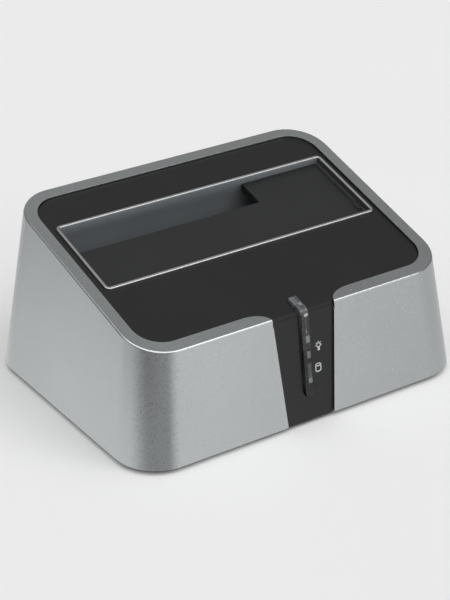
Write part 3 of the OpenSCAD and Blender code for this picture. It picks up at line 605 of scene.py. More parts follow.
# The light pipe's pale patches are a faint haze over its upper part and frosting on its top face and over
# the lamps. The bands at the bend, the spot near the top end, and the thin streak and dot below the bend
# are painted glints.
PIPE_ACRYLIC = ClearPlastic("pipe_acrylic", (0.15, 0.155, 0.16, 1), 0.02, (
    FrostAndPaintedGlint(0.04, z_mm=(26, 90)), FrostAndPaintedGlint(0.1, y_mm=(-43.4, -30)), FrostAndPaintedGlint(0.12, (-2, 0.4), y_mm=(-40, -30)),
    FrostAndPaintedGlint(0.4, (0.1, 1.0), y_mm=(-40.8, -39.6)),
    FrostAndPaintedGlint(0.8, (-0.9, 1.2), y_mm=(-44.6, -43.1), z_mm=(38.9, 42)),
    FrostAndPaintedGlint(0.85, (-0.3, 1.1), z_mm=(37.2, 38.1)), FrostAndPaintedGlint(0.1, (-0.1, 0.4), z_mm=(30.6, 37.2)),
    FrostAndPaintedGlint(0.3, (0.0, 0.5), z_mm=(31.7, 32.4)), FrostAndPaintedGlint(0.34, (-0.2, 1.2), z_mm=(28.3, 30.6)),
    FrostAndPaintedGlint(0.26, (-0.2, 1.2), z_mm=(23, 25.4)), FrostAndPaintedGlint(0.12, (-0.2, 1.2), z_mm=(16.3, 21.3)),
    FrostAndPaintedGlint(0.34, (-0.2, 1.2), z_mm=(14.5, 16.3))))
MARK_INK = PrintInk("mark_ink", srgb(214, 216, 216))
FLOOR = PaleFloor("pale_floor", (0.92, 0.92, 0.92, 1))


@dataclass(frozen=True)
class EdgeRound:
    """A small round on a piece's sharp edges."""

    width_mm: float
    segments: int = 2


def placed(name: str, data: ID) -> Object:
    """Put a mesh or a camera in the scene as an object.

    Args:
        name: The object's name.
        data: The mesh or camera.

    Returns:
        The new object.
    """
    made = bpy.data.objects.new(name, data)
    bpy.context.scene.collection.objects.link(made)
    return made


def outward(work: BMesh, mesh: Mesh) -> Mesh:
    """Write working geometry into a mesh, with its faces outward, and free it.

    Args:
        work: The geometry.
        mesh: The mesh to fill.

    Returns:
        The same mesh.
    """
    bmesh.ops.recalc_face_normals(work, faces=work.faces)
    work.to_mesh(mesh)
    work.free()
    return mesh


def skin(work: BMesh, rows: Sequence[Sequence[BMVert]]) -> None:
    """Join each ring of points to the next one with faces.

    Args:
        work: The mesh that they are added to.
        rows: The rings, all with as many points.
    """
    for low, high in zip(rows, rows[1:]):
        for i in range(len(low)):
            k = (i + 1) % len(low)
            work.faces.new((low[i], low[k], high[k], high[i]))


def merged_copy(node: str) -> Mesh:
    """Copy a node's mesh, with its loose triangles joined and its flat faces whole.

    Args:
        node: The node's name.

    Returns:
        The new mesh.
    """
    source = frame["nodes"][node].data
    mesh = bpy.data.meshes.new(f"{node}_copy")
    mesh.from_pydata([v.co for v in source.vertices], [], [p.vertices for p in source.polygons])
    work = bmesh.new()
    work.from_mesh(mesh)
    bmesh.ops.remove_doubles(work, verts=work.verts, dist=MERGE_MM * MM)
    bmesh.ops.dissolve_limit(work, angle_limit=radians(FLAT_DEG), verts=work.verts, edges=work.edges)
    return outward(work, mesh)


def slot_of(node: str) -> str:
    """The record's material slot of a node."""
    return next(row["material_slot"] for row in frame["record"]["subparts"] if row["node"] == node)


def add_piece(name: str, mesh: Mesh, finish: Finish, replaced: Sequence[str] = (),
              body: Body = Body.CASE, slot: str = "", edge: EdgeRound | None = None) -> Object:
    """Put a finished mesh in the scene as a piece of the object.

    Args:
        name: The piece's name.
        mesh: Its mesh, in place.
        finish: Its surface.
        replaced: The nodes that it stands for.
        body: What it moves with.
        slot: The record's material slot, where it isn't the first replaced node's; it is not used.
        edge: The round on its sharp edges, if any.

    Returns:
        The new object.
    """
    piece = placed(name, mesh)
    if not mesh.materials:
        mesh.materials.append(finish.material())
    mesh.shade_smooth()
    mesh.set_sharp_from_angle(angle=radians(SHARP_DEG))
    if edge:
        rounded = piece.modifiers.new("edge_round", "BEVEL")
        rounded.width, rounded.segments = edge.width_mm * MM, edge.segments
        rounded.limit_method, rounded.angle_limit = "ANGLE", radians(SHARP_DEG)
        rounded.miter_outer = "MITER_ARC"
    piece.modifiers.new("flat_faces", "WEIGHTED_NORMAL").keep_sharp = True
    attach(piece, body.value)
    if replaced:
        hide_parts(*replaced)
        slot = slot or slot_of(replaced[0])
    LOG.info("piece %s on %s: %d faces", name, body.value, len(mesh.polygons))
    return piece


def dress_copy(node: str, finish: Finish, edge: EdgeRound | None = None,
               body: Body = Body.CASE) -> Object:
    """Replace a node by a smoothly shaded copy of itself with a finish and, if asked, rounded edges."""
    return add_piece(f"{node}_piece", merged_copy(node), finish, [node], body, edge=edge)


def paint(node: str, finish: Finish) -> None:
    """Give a node that keeps its own shape a better finish.

    Args:
        node: The node's name.
        finish: Its surface.
    """
    kept = frame["nodes"][node]
    kept.data.materials.clear()
    kept.data.materials.append(finish.material())
    LOG.info("node %s keeps its shape", node)


class Growth(Graph):
    """A Geometry Nodes tree with named inputs, whose result is turned into a plain mesh."""

    family = "GeometryNode"

    def __init__(self, name: str, **sizes: type) -> None:
        """Make the tree's sockets.

        Args:
            name: The tree's name.
            sizes: The type of each named input after the geometry.
        """
        super().__init__(bpy.data.node_groups.new(name, "GeometryNodeTree"))
        kinds = {float: "NodeSocketFloat", int: "NodeSocketInt", Vector: "NodeSocketVector",
                 Material: "NodeSocketMaterial"}
        face = self.tree.interface
        face.new_socket("Geometry", in_out="INPUT", socket_type="NodeSocketGeometry")
        for key, kind in {**sizes, "Material": Material}.items():
            face.new_socket(key, in_out="INPUT", socket_type=kinds[kind])
        face.new_socket("Geometry", in_out="OUTPUT", socket_type="NodeSocketGeometry")
        self.start = self.node("NodeGroupInput")

    def given(self, name: str) -> Wire:
        """The value of a named input."""
        return Wire(self, self.start.outputs[name])

    def swept(self, section: Wire) -> Wire:
        """A section swept along the path that the tree starts from."""
        path = self.wire("MeshToCurve", {0: self.given("Geometry")})
        return self.wire("CurveToMesh", {"Curve": path, "Profile Curve": section, "Fill Caps": True})

    def close(self, geometry: Wire) -> None:
        """End the tree: make instances real, set the material and give the result.

        Args:
            geometry: What the tree makes.
        """
        real = self.wire("RealizeInstances", {"Geometry": geometry})
        dressed = self.wire("SetMaterial", {"Geometry": real, "Material": self.given("Material")})
        self.node("NodeGroupOutput", {0: dressed})

    def grow(self, seed: Mesh, **values: Any) -> Mesh:
        """Run the tree on a mesh.

        Args:
            seed: The mesh that the tree starts from.
            values: The value of each named input.

        Returns:
            The result as a plain mesh.
        """
        carrier = placed("carrier", seed)
        run = carrier.modifiers.new("growth", "NODES")
        run.node_group = self.tree
        for item in self.tree.interface.items_tree:
            if item.in_out == "INPUT" and item.name in values:
                run[item.identifier] = values[item.name]
        ready = carrier.evaluated_get(bpy.context.evaluated_depsgraph_get())
        mesh = bpy.data.meshes.new_from_object(ready)
        carrier.modifiers.remove(run)
        bpy.data.objects.remove(carrier)
        work = bmesh.new()
        work.from_mesh(mesh)
        bmesh.ops.remove_doubles(work, verts=work.verts, dist=MERGE_MM / 2 * MM)
        return outward(work, mesh)


@cache
def corner_growth() -> Growth:
    """Make a tree that repeats a screw at the four corners of a rectangle, each turned by the same spin.

    Returns:
        The tree.
    """
    tree = Growth("corner_screws", Width=float, Length=float, Spin=Vector)
    corners = tree.wire("MeshGrid", {
        "Size X": tree.given("Width"), "Size Y": tree.given("Length"), "Vertices X": 2, "Vertices Y": 2})
    tree.close(tree.wire("InstanceOnPoints", {
        "Points": corners, "Instance": tree.given("Geometry"), "Rotation": tree.given("Spin")}))
    return tree


@cache
def row_growth() -> Growth:
    """Make a tree that bends a flat strip along a path and repeats it in a row.

    Returns:
        The tree.
    """
    tree = Growth("strip_row", Width=float, Thickness=float, Count=int, Pitch=Vector)
    strip = tree.swept(tree.wire("CurvePrimitiveQuadrilateral", {
        "Width": tree.given("Width"), "Height": tree.given("Thickness")}))
    line = tree.wire("MeshLine", {"Count": tree.given("Count"), "Offset": tree.given("Pitch")})
    tree.close(tree.wire("InstanceOnPoints", {"Points": line, "Instance": strip}))
    return tree


@cache
def wire_growth() -> Growth:
    """Make a tree that draws round wire along a path.

    Returns:
        The tree.
    """
    tree = Growth("round_wire", Radius=float)
    tree.close(tree.swept(tree.wire("CurvePrimitiveCircle", {
        "Resolution": WIRE_SIDES, "Radius": tree.given("Radius")})))
    return tree


def line_mesh(points: Iterable[Sequence[float]], closed: bool = False) -> Mesh:
    """Make a mesh of one line.

    Args:
        points: The places that it goes through, in millimetres.
        closed: Whether its ends join.

    Returns:
        The new mesh.
    """
    places = [Vector(p) * MM for p in points]
    last = len(places) - 1
    mesh = bpy.data.meshes.new("line")
    mesh.from_pydata(places, [(i, i + 1) for i in range(last)] + ([(last, 0)] if closed else []), [])
    return mesh


def strips(path: Mesh, band_mm: Pair, finish: Finish, count: int = 1,
           pitch_mm: Sequence[float] = (0.0, 0.0, 0.0)) -> Mesh:
    """Bend a flat strip along a path and repeat it in a row.

    Args:
        path: The strip's line.
        band_mm: Its width and thickness.
        finish: Its surface.
        count: How many there are.
        pitch_mm: The way from each to the next.

    Returns:
        The new mesh.
    """
    width, thick = metres(band_mm)
    return row_growth().grow(path, Width=width, Thickness=thick, Count=count, Pitch=metres(pitch_mm),
                             Material=finish.material())


def helix(radius_mm: float, rise_mm: float, first: float, last: float) -> list[Point]:
    """Wind a coil round an axis.

    Args:
        radius_mm: Its radius.
        rise_mm: How far each turn takes it along the axis.
        first: The turn that it starts at.
        last: The turn that it ends at.

    Returns:
        Its points, as two places across the axis and one along it.
    """
    count = max(2, round(COIL_STEPS * (last - first)))
    turns = [first + (last - first) * i / count for i in range(count + 1)]
    return [(radius_mm * cos(2 * pi * t), radius_mm * sin(2 * pi * t), rise_mm * t) for t in turns]


def spring_wire(path: Iterable[Sequence[float]], wire_mm: float) -> Mesh:
    """Round spring wire along a path in millimetres."""
    return wire_growth().grow(line_mesh(path), Radius=wire_mm / 2 * MM, Material=SPRING_STEEL.material())


def lay_sloping(mesh: Mesh, origin_mm: Point, tilt_deg: float) -> None:
    """Tilt a mesh about the X axis and move it to its place."""
    mesh.transform(Matrix.Translation(metres(origin_mm)) @ Matrix.Rotation(radians(tilt_deg), 4, "X"))


def joined(meshes: Sequence[Mesh]) -> Mesh:
    """Put several meshes of one finish together.

    Args:
        meshes: The meshes.

    Returns:
        The new mesh.
    """
    work = bmesh.new()
    for mesh in meshes:
        work.from_mesh(mesh)
    result = outward(work, bpy.data.meshes.new("joined"))
    for material in meshes[0].materials:
        result.materials.append(material)
    return result


@dataclass(frozen=True)
class CornerScrews:
    """Four cross-recess screws at the corners of a rectangle, round the middle of their heads' faces."""

    node: str
    place_mm: Point
    spread_mm: Pair
    shank_mm: float
    tilt_deg: float = 0.0
    spin_deg: float = 23.0
    head_r_mm: float = 2.4
    head_h_mm: float = 1.5
    shank_r_mm: float = 1.3
    tip_mm: float = 0.6
    arm_mm: float = 1.3
    arm_half_mm: float = 0.26
    recess_mm: float = 0.8
    sides: int = 32

    def build(self) -> None:
        """Set the screws and dress them."""
        width, length = metres(self.spread_mm)
        mesh = corner_growth().grow(
            self.blank(), Width=width, Length=length, Spin=(0.0, 0.0, radians(self.spin_deg)),
            Material=SCREW_ZINC.material())
        lay_sloping(mesh, self.place_mm, self.tilt_deg)
        add_piece(f"{self.node}_piece", mesh, SCREW_ZINC, [self.node])

    def blank(self) -> Mesh:
        """Turn one screw on the origin, with its head's face down and its shank up.

        Returns:
            The new mesh.
        """
        work = bmesh.new()
        end = self.head_h_mm + self.shank_mm
        profile = ((0.82 * self.head_r_mm, 0.0), (0.95 * self.head_r_mm, 0.16 * self.head_h_mm),
                   (self.head_r_mm, 0.42 * self.head_h_mm), (self.head_r_mm, self.head_h_mm),
                   (self.shank_r_mm, self.head_h_mm), (self.shank_r_mm, end - self.tip_mm),
                   (0.7 * self.shank_r_mm, end))
        turns = [2 * pi * i / self.sides for i in range(self.sides)]
        rings = [[work.verts.new(Vector((r * cos(t), r * sin(t), z)) * MM) for t in turns]
                 for r, z in profile]
        skin(work, rings)
        work.faces.new(rings[-1])
        self.recess(work, rings[0])
        return outward(work, bpy.data.meshes.new("screw_blank"))

    def recess(self, work: BMesh, rim: Sequence[BMVert]) -> None:
        """Sink a cross with a flat floor into the head's face, which reaches out to the rim.

        Args:
            work: The mesh that it is added to.
            rim: The points round the head's face.
        """
        far, near = self.arm_mm, self.arm_half_mm
        rows = []
        for depth, share in ((0.0, 1.0), (self.recess_mm, 0.8)):
            row = []
            for quarter in range(4):
                turn = Matrix.Rotation(pi / 2 * quarter, 3, "Z")
                for x, y in ((far * share, -near), (far * share, near), (near, near)):
                    row.append(work.verts.new((turn @ Vector((x, y, depth))) * MM))
            rows.append(row)
        skin(work, rows)
        top, floor = rows
        step = self.sides // 4
        for quarter in range(4):
            arm, middle = 3 * quarter, step * quarter
            tip = [rim[(middle + k) % self.sides] for k in (-1, 0, 1)]
            web = [rim[(middle + k) % self.sides] for k in range(1, step)]
            work.faces.new((top[arm], *tip, top[arm + 1]))
            work.faces.new((top[arm + 1], *web, top[(arm + 3) % 12], top[arm + 2]))
            work.faces.new((floor[arm - 1], floor[arm], floor[arm + 1], floor[arm + 2]))
        work.faces.new([floor[3 * quarter + 2] for quarter in range(4)])


@dataclass(frozen=True)
class Housing:
    """The silver case, its bottom cover, feet and screws."""

    screws: CornerScrews = CornerScrews("case_screws", (0.0, -0.4, 1.75), (102.0, 62.8), 10.0)

    def build(self) -> None:
        """Build and dress each piece."""
        dress_copy("upper_case", SILVER)
        dress_copy("bottom_cover", BLACK_INNER)
        dress_copy("rubber_feet", RUBBER)
        self.screws.build()


def arc(centre: Pair, radii: Pair, start: float, end: float, count: int = 20) -> list[Pair]:
    """Points of an elliptic arc between two angles in degrees."""
    turns = [radians(start + (end - start) * i / count) for i in range(count + 1)]
    return [(centre[0] + radii[0] * cos(t), centre[1] + radii[1] * sin(t)) for t in turns]


@dataclass(frozen=True)
class TopPanel:
    """The black panel with its tongue, the slot's trim, the light pipe and the printed marks."""

    slot_mid_mm: float = 50.2
    slot_mm: Pair = (103.8, 31.5)
    face_origin_mm: Point = (0.0, -49.0, 1.5)
    face_lean_deg: float = 8.769
    panel_drop_mm: float = 0.8
    ink_mm: float = 0.03
    mark_slot: str = "white_plastic"
    trim_mm: tuple[float, float, float, float] = (-52.48, 33.92, 53.1, 66.48)
    trim_band_mm: Pair = (1.12, 1.75)
    trim_top_mm: float = -0.05
    trim_corner_mm: float = 1.3
    wall_reach_mm: float = 0.4
    back_band_mm: float = 0.8
    lamp_mark_mm: Pair = (5.2, 24.7)
    disk_mark_mm: Pair = (4.55, 17.1)

    def build(self) -> None:
        """Build and dress each piece."""
        panel = dress_copy("top_panel", BLACK_PANEL)
        for finish in (BLACK_BEND, SLOT_PLASTIC, WELL_PLASTIC):
            panel.data.materials.append(finish.material())
        for face in panel.data.polygons:
            face.material_index = int(self.in_bend(face)) or self.slot_wall(face)
        self.trim()
        dress_copy("light_pipe", PIPE_ACRYLIC, EdgeRound(0.15))
        work = bmesh.new()
        self.lamp_mark(work)
        self.disk_mark(work)
        mesh = outward(work, bpy.data.meshes.new("marks"))
        lay_sloping(mesh, self.face_origin_mm, 90 - self.face_lean_deg)
        add_piece("printed_marks", mesh, MARK_INK, slot=self.mark_slot)

    def trim(self) -> None:
        """Bend the trim's flat band round the slot and lay it into the sloping top."""
        left, front, right, back = self.trim_mm
        inset = self.trim_corner_mm
        path = []
        for x, y, start in ((right - inset, front + inset, -90), (right - inset, back - inset, 0),
                            (left + inset, back - inset, 90), (left + inset, front + inset, 180)):
            path += arc((x, y), (inset, inset), start, start + 90, 6)
        level = self.trim_top_mm - self.trim_band_mm[1] / 2
        mesh = strips(line_mesh([(x, y, level) for x, y in path], True), self.trim_band_mm, TRIM_METAL)
        # The trim's back inner face takes the well's plastic, with its painted light near the top.
        mesh.materials.append(WELL_PLASTIC.material())
        for face in mesh.polygons:
            face.material_index = int(face.normal.y < -0.9 and face.center.y > self.slot_mid_mm * MM)
        lay_sloping(mesh, TOP_ORIGIN_MM, TOP_TILT_DEG)
        add_piece("slot_trim_piece", mesh, TRIM_METAL, ["slot_trim"], edge=EdgeRound(0.3, 3))

    def slot_wall(self, face: MeshPolygon) -> int:
        """Tell the walls of the slot from the rest of the panel.

        Args:
            face: A face of the panel.

        Returns:
            The number of its finish: 3 on the slot's back wall, 2 on its other walls, else 0.
        """
        slope, away = top_axes()
        place = face.center / MM - Vector(TOP_ORIGIN_MM)
        along = place.dot(slope) - self.slot_mid_mm
        width, length = (v / 2 + self.wall_reach_mm for v in self.slot_mm)
        inside = abs(place.x) < width and abs(along) < length and abs(face.normal.dot(away)) < 0.5
        if not inside or place.dot(away) >= -self.panel_drop_mm:
            return 0
        # The back wall takes the well's plastic with its painted light, and the other walls a plain grey
        # plastic.
        return 3 if along > length - self.back_band_mm else 2

    def in_bend(self, face: MeshPolygon) -> bool:
        """Find the bend from the panel's top to its tongue.

        Args:
            face: A face of the panel.

        Returns:
            Whether it is in the bend.
        """
        lean = degrees(asin(max(-1.0, min(1.0, face.normal.z))))
        level = abs(face.normal.x) < 0.05 and face.normal.y < 0
        return level and self.face_lean_deg + 1 < lean < 89 - TOP_TILT_DEG

    def stroke(self, work: BMesh, line: Sequence[Pair], width: float,
               closed: bool = False) -> None:
        """Print one line of even width.

        Args:
            work: The mesh that it is added to.
            line: Its points, across and up the face in millimetres.
            width: Its width.
            closed: Whether its ends join.
        """
        spots = [Vector(p) for p in line]
        last = len(spots) - 1
        low, high = -self.panel_drop_mm, self.ink_mm - self.panel_drop_mm
        rows = []
        for i, spot in enumerate(spots):
            before = spots[i - 1] if i or closed else spot
            after = spots[(i + 1) % len(spots)] if i < last or closed else spot
            run = (after - before).normalized()
            side = Vector((-run.y, run.x)) * width / 2
            corners = [(spot + side, low), (spot - side, low), (spot - side, high), (spot + side, high)]
            rows.append([work.verts.new(metres((p.x, p.y, level))) for p, level in corners])
        skin(work, rows + rows[:1] if closed else rows)
        if not closed:
            work.faces.new(rows[0][::-1])
            work.faces.new(rows[-1])

    def lamp_mark(self, work: BMesh) -> None:
        """Print a lamp: a bulb, its cap and rays.

        Args:
            work: The mesh that it is added to.
        """
        x, y = self.lamp_mark_mm
        self.stroke(work, arc((x, y), (0.72, 0.72), 0, 360)[:-1], 0.3, True)
        self.stroke(work, [(x, y - 0.78), (x, y - 1.85)], 0.8)
        for turn in (-8, 41, 90, 139, 188):
            way = Vector((cos(radians(turn)), sin(radians(turn))))
            self.stroke(work, [tuple(Vector((x, y)) + reach * way) for reach in (1.02, 1.36)], 0.24)

    def disk_mark(self, work: BMesh) -> None:
        """Print a disk: an oval lid on a drum.

        Args:
            work: The mesh that it is added to.
        """
        x, y = self.disk_mark_mm
        self.stroke(work, arc((x, y + 0.95), (1.0, 0.42), 0, 360)[:-1], 0.34, True)
        drum = [(x + 1.0, y + 0.95), *arc((x, y - 0.95), (1.0, 0.42), 0, -180), (x - 1.0, y + 0.95)]
        self.stroke(work, drum, 0.38)


@dataclass(frozen=True)
class DriveBay:
    """The well under the slot, its flap with pin and spring, and the drive's connector."""

    pin_mm: Pair = (-9.09723, 43.3704)
    coil_x_mm: float = 44.0
    coil_r_mm: float = 1.205
    coil_pitch_mm: float = 0.95
    wire_mm: float = 0.45
    turns: int = 4
    arm_turns: float = 0.9
    leg_mm: Point = (3, 6, 9)
    connector_mm: Point = (-26.0, 15.754, 17.7292)
    board_top_mm: float = 6.95
    contact_pitch_mm: float = 1.27
    blade_mm: Pair = (0.6, 0.22)
    tail_mm: Pair = (0.5, 0.22)
    screws: CornerScrews = CornerScrews("well_screws", (0.0, 7.8586, 40.446), (60.0, 50.789), 6.5,
                                        TOP_TILT_DEG)

    def build(self) -> None:
        """Build and dress each piece."""
        dress_copy("drive_well", WELL_PLASTIC)
        dress_copy("dust_flap", BLACK_FLAP, None, Body.FLAP)
        paint("flap_hinge_pin", SPRING_STEEL)
        dress_copy("sata_connector", BLACK_CONNECTOR)
        self.spring()
        self.contacts()
        self.screws.build()

    def coil(self, first: float, last: float) -> list[Point]:
        """Wind a part of the flap's spring.

        Args:
            first: The turn that it starts at, counted from the standing leg.
            last: The turn that it ends at.

        Returns:
            Its points.
        """
        y, z = self.pin_mm
        return [(self.coil_x_mm + along, y - back, z + up)
                for back, up, along in helix(self.coil_r_mm, self.coil_pitch_mm, first, last)]

    def spring(self) -> None:
        """Wind the flap's spring: its standing leg and coil stay, its last turn and other leg move."""
        total = self.turns + (90 - TOP_TILT_DEG) / 360
        y, z = self.pin_mm
        leg = [(self.coil_x_mm, y - self.coil_r_mm, z - drop) for drop in self.leg_mm[::-1]]
        slope, away = top_axes()
        end = Vector((self.coil_x_mm + self.coil_pitch_mm * total, y, z)) + self.coil_r_mm * away
        lift = [tuple(end + reach * slope) for reach in self.leg_mm]
        split = total - self.arm_turns
        for name, path, body, replaced in (
                ("flap_spring_coil", leg + self.coil(0, split), Body.CASE, ["flap_spring"]),
                ("flap_spring_arm", self.coil(split, total) + lift, Body.FLAP, [])):
            mesh = spring_wire(path, self.wire_mm)
            add_piece(name, mesh, SPRING_STEEL, replaced, body, slot_of("flap_spring"))

    def contacts(self) -> None:
        """Set the connector's two rows of spring contacts and their solder tails."""
        x0, y0, top = self.connector_mm
        pitch = (self.contact_pitch_mm, 0.0, 0.0)
        base = self.board_top_mm + 0.125
        meshes = []
        for start, count in ((-13.9, 15), (8.4, 7)):
            x = x0 + start
            blade = [(x, y0 - 0.66, top - 5.1), (x, y0 - 0.66, top - 3.4), (x, y0 - 0.52, top - 1.9),
                     (x, y0 - 0.66, top - 0.8)]
            tail = [(x, y0 - 2.92, base + 0.5), (x, y0 - 3.05, base), (x, y0 - 4.2, base)]
            for path, band in ((blade, self.blade_mm), (tail, self.tail_mm)):
                meshes.append(strips(line_mesh(path), band, GOLD, count, pitch))
        add_piece("sata_contacts_piece", joined(meshes), GOLD, ["sata_contacts"])


@dataclass(frozen=True)
class Electronics:
    """The main board and the light board with their parts."""

    board_top_mm: float = 6.9
    chip_mm: Pair = (27.0, -25.167)
    chip_w_mm: float = 10.0
    lead_pitch_mm: float = 0.8
    lead_mm: Pair = (0.36, 0.18)
    leads_a_side: int = 12
    can_mm: float = 6.6
    can_pitch_mm: float = 10.0
    parts: tuple[tuple[str, Finish, EdgeRound], ...] = (
        ("bridge_chip", CHIP_EPOXY, EdgeRound(0.12)), ("crystal", NICKEL, EdgeRound(0.2, 3)),
        ("power_inductor", FERRITE, EdgeRound(0.2)), ("voltage_regulator", CHIP_EPOXY, EdgeRound(0.1)),
        ("small_parts", CERAMIC, EdgeRound(0.12)), ("led_header", BLACK_CONNECTOR, EdgeRound(0.2)),
        ("header_pins", GOLD, EdgeRound(0.1)), ("status_leds", LAMP_EPOXY, EdgeRound(0.15)))
    screws: CornerScrews = CornerScrews("board_screws", (-2.75, 2.679, 8.45), (81.5, 69.692), 4.0, 180.0)

    def build(self) -> None:
        """Build and dress each piece."""
        for node in ("main_board", "led_board"):
            paint(node, BOARD_GREEN)
        for node, finish, edge in self.parts:
            dress_copy(node, finish, edge)
        low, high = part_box("filter_capacitors")
        can = MarkedCan("capacitor_can", (0.62, 0.63, 0.65, 1), low.x / MM + self.can_mm / 2,
                        self.can_pitch_mm, high.z / MM)
        dress_copy("filter_capacitors", can, EdgeRound(0.35, 3))
        self.leads()
        self.screws.build()

    def leads(self) -> None:
        """Bend the chip's gull-wing leads, one row for each side."""
        half = self.chip_w_mm / 2
        base = self.board_top_mm + 0.05
        path = [(half + 0.02, 0.4), (half + 0.2, 0.4), (half + 0.36, 0.3), (half + 0.42, 0.12),
                (half + 0.55, 0.1), (half + 1.0, 0.1)]
        span = (self.leads_a_side - 1) * self.lead_pitch_mm
        meshes = []
        for quarter in range(4):
            turn = Matrix.Rotation(radians(90 * quarter), 3, "Z")
            middle = Vector((self.chip_mm[0], self.chip_mm[1], base))
            line = [middle + turn @ Vector((-span / 2, out, up)) for out, up in path]
            pitch = turn @ Vector((self.lead_pitch_mm, 0, 0))
            meshes.append(strips(line_mesh(line), self.lead_mm, TIN, self.leads_a_side, pitch))
        add_piece("chip_leads_piece", joined(meshes), TIN, ["chip_leads"])


@dataclass(frozen=True)
class RearPorts:
    """The rear plate with the data port, the power inlet and the power switch."""

    switch_x_mm: float = 20.0
    button_z_mm: float = 11.4
    spring_y_mm: Pair = (36.5033, 39.9033)
    spring_r_mm: float = 2.45
    spring_wire_mm: float = 0.35
    spring_turns: float = 3.0
    spring_seat_mm: float = 0.25
    travel_mm: float = 1.6

    def build(self) -> None:
        """Build and dress each piece."""
        dress_copy("rear_plate", BLACK_INNER)
        dress_copy("usb_shell", NICKEL)
        dress_copy("usb_insert", WHITE_PLASTIC)
        dress_copy("usb_contacts", GOLD, EdgeRound(0.08))
        dress_copy("dc_jack", BLACK_CONNECTOR, EdgeRound(0.25))
        dress_copy("dc_jack_pin", NICKEL, EdgeRound(0.15))
        dress_copy("switch_body", BLACK_CONNECTOR)
        dress_copy("switch_plunger", WHITE_PLASTIC, EdgeRound(0.2), Body.BUTTON)
        dress_copy("power_button", BLACK_PANEL, EdgeRound(0.25, 3), Body.BUTTON)
        self.spring()

    def spring(self) -> None:
        """Wind the spring behind the button at its rest length; the real one shortens as the button goes
        in.
        """
        y0, y1 = self.spring_y_mm
        room = y1 - y0
        rise = (room - 2 * self.spring_seat_mm) / self.spring_turns
        path = [(self.switch_x_mm + across, y0 + self.spring_seat_mm + along, self.button_z_mm + up)
                for across, up, along in helix(self.spring_r_mm, rise, 0, self.spring_turns)]
        mesh = spring_wire(path, self.spring_wire_mm)
        piece = add_piece("button_spring_coil", mesh, SPRING_STEEL, ["button_spring"])
        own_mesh(piece)


@dataclass(frozen=True)
class SoftBox:
    """A round soft light of the room."""

    azimuth_deg: float
    rise_deg: float
    level: float
    inner_deg: float
    outer_deg: float

    def cover(self, graph: Graph, way: Wire) -> Wire:
        """One inside the light's round, fading to zero at its outer edge."""
        inner, outer = (cos(radians(v)) for v in (self.inner_deg, self.outer_deg))
        return graph.facing(way, bearing(self.azimuth_deg, self.rise_deg)).step(outer, inner)


@dataclass(frozen=True)
class LowScreen:
    """A bright screen that stands on the horizon."""

    azimuth_deg: float
    half_deg: float
    level: float
    high_deg: float = 30
    soft_deg: float = 5
    fade: float = 0.2
    horizon: float = 0.03

    def cover(self, graph: Graph, way: Wire) -> Wire:
        """One on the screen, fading to zero at its top and its ends.

        Args:
            graph: The node tree.
            way: The direction looked in.

        Returns:
            The cover, from 0 to 1.
        """
        rise = graph.facing(way, Vector((0, 0, 1)))
        angle = graph.azimuth(way, self.azimuth_deg)
        start, end = self.half_deg - self.soft_deg, self.half_deg + self.soft_deg
        high = sin(radians(self.high_deg))
        band = rise.step(-self.horizon, self.horizon) * (1 - rise.step(high - self.fade, high))
        return band * angle.step(-end, -start) * (1 - angle.step(start, end))


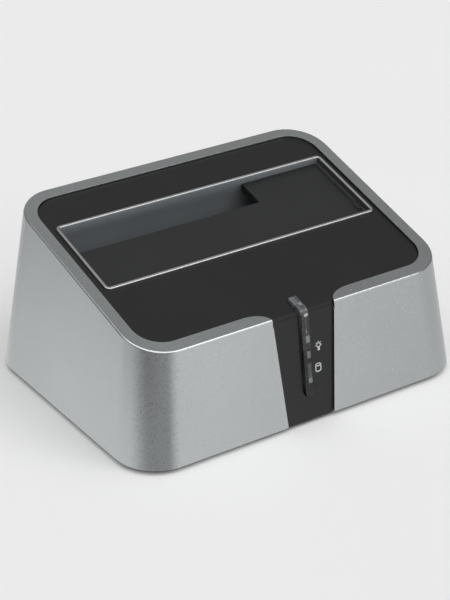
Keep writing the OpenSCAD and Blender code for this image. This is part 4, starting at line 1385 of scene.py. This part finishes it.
@dataclass(frozen=True)
class Studio:
    """The floor, the soft light and the camera."""

    floor_half: float = 12.0
    camera_mm: Point = (-310.79, -451.68, 311.91)
    azimuth_deg: float = -34.471
    elevation_deg: float = 27.698
    roll_deg: float = 0.323
    focal_px: float = 1837.04
    frame_px: float = 600.0
    sensor_mm: float = 36.0
    ambient: float = 0.18
    dim: float = 0.5
    dim_rise: Pair = (0.4, 0.7)
    dim_side: DimSide = DimSide()
    lights: tuple[SoftBox | LowScreen, ...] = (
        SoftBox(-10, 68, 1.5, 25, 55), SoftBox(46, 48, 2.0, 6, 14), SoftBox(150, 34, 0.18, 8, 42),
        LowScreen(52, 36, 0.5), LowScreen(27, 12, 0.7), LowScreen(-142, 54, 0.7, 20))

    def build(self) -> None:
        """Lay the floor, light it and set the camera."""
        half = self.floor_half
        mesh = bpy.data.meshes.new("floor")
        mesh.from_pydata([(-half, -half, 0), (half, -half, 0), (half, half, 0), (-half, half, 0)], [],
                         [(0, 1, 2, 3)])
        mesh.materials.append(FLOOR.material())
        floor = placed("floor", mesh)
        self.light()
        self.camera()
        bpy.context.scene.view_settings.view_transform = "Standard"

    def light(self) -> None:
        """Fill the world with a dim room and a few soft lights."""
        world = bpy.data.worlds.new("studio")
        world.use_nodes = True
        world.node_tree.nodes.clear()
        graph = Graph(world.node_tree)
        way = graph.wire("TexCoord", out="Generated")
        rise = graph.facing(way, Vector((0, 0, 1)))
        level = self.ambient * (1 - self.dim * self.dim_side.cover(graph, way)
                                * (1 - rise.step(*self.dim_rise)))
        for light in self.lights:
            level = level + light.level * light.cover(graph, way)
        glow = graph.wire("Background", {"Color": (1, 1, 1, 1), "Strength": level})
        graph.node("OutputWorld", {"Surface": glow})
        bpy.context.scene.world = world

    def camera(self) -> None:
        """Stand the camera where the photograph was taken from."""
        back = bearing(self.azimuth_deg, self.elevation_deg)
        right = Matrix.Rotation(radians(self.roll_deg), 3, back) @ bearing(self.azimuth_deg + 90)
        data = bpy.data.cameras.new("camera")
        data.sensor_width = self.sensor_mm
        data.lens = self.focal_px * self.sensor_mm / self.frame_px
        data.clip_start, data.clip_end = 0.01, 100
        camera = placed("camera", data)
        camera.matrix_world = Matrix.Translation(Vector(self.camera_mm) * MM) @ Matrix(
            (right, back.cross(right), back)).transposed().to_4x4()
        bpy.context.scene.camera = camera


def main() -> None:
    """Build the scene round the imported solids."""
    logging.basicConfig(level=logging.INFO, format="%(name)s: %(message)s")
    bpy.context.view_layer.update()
    for part in (Studio(), Housing(), TopPanel(), DriveBay(), Electronics(), RearPorts()):
        part.build()
        LOG.info("built %s", type(part).__name__)


if __name__ == "__main__":
    main()
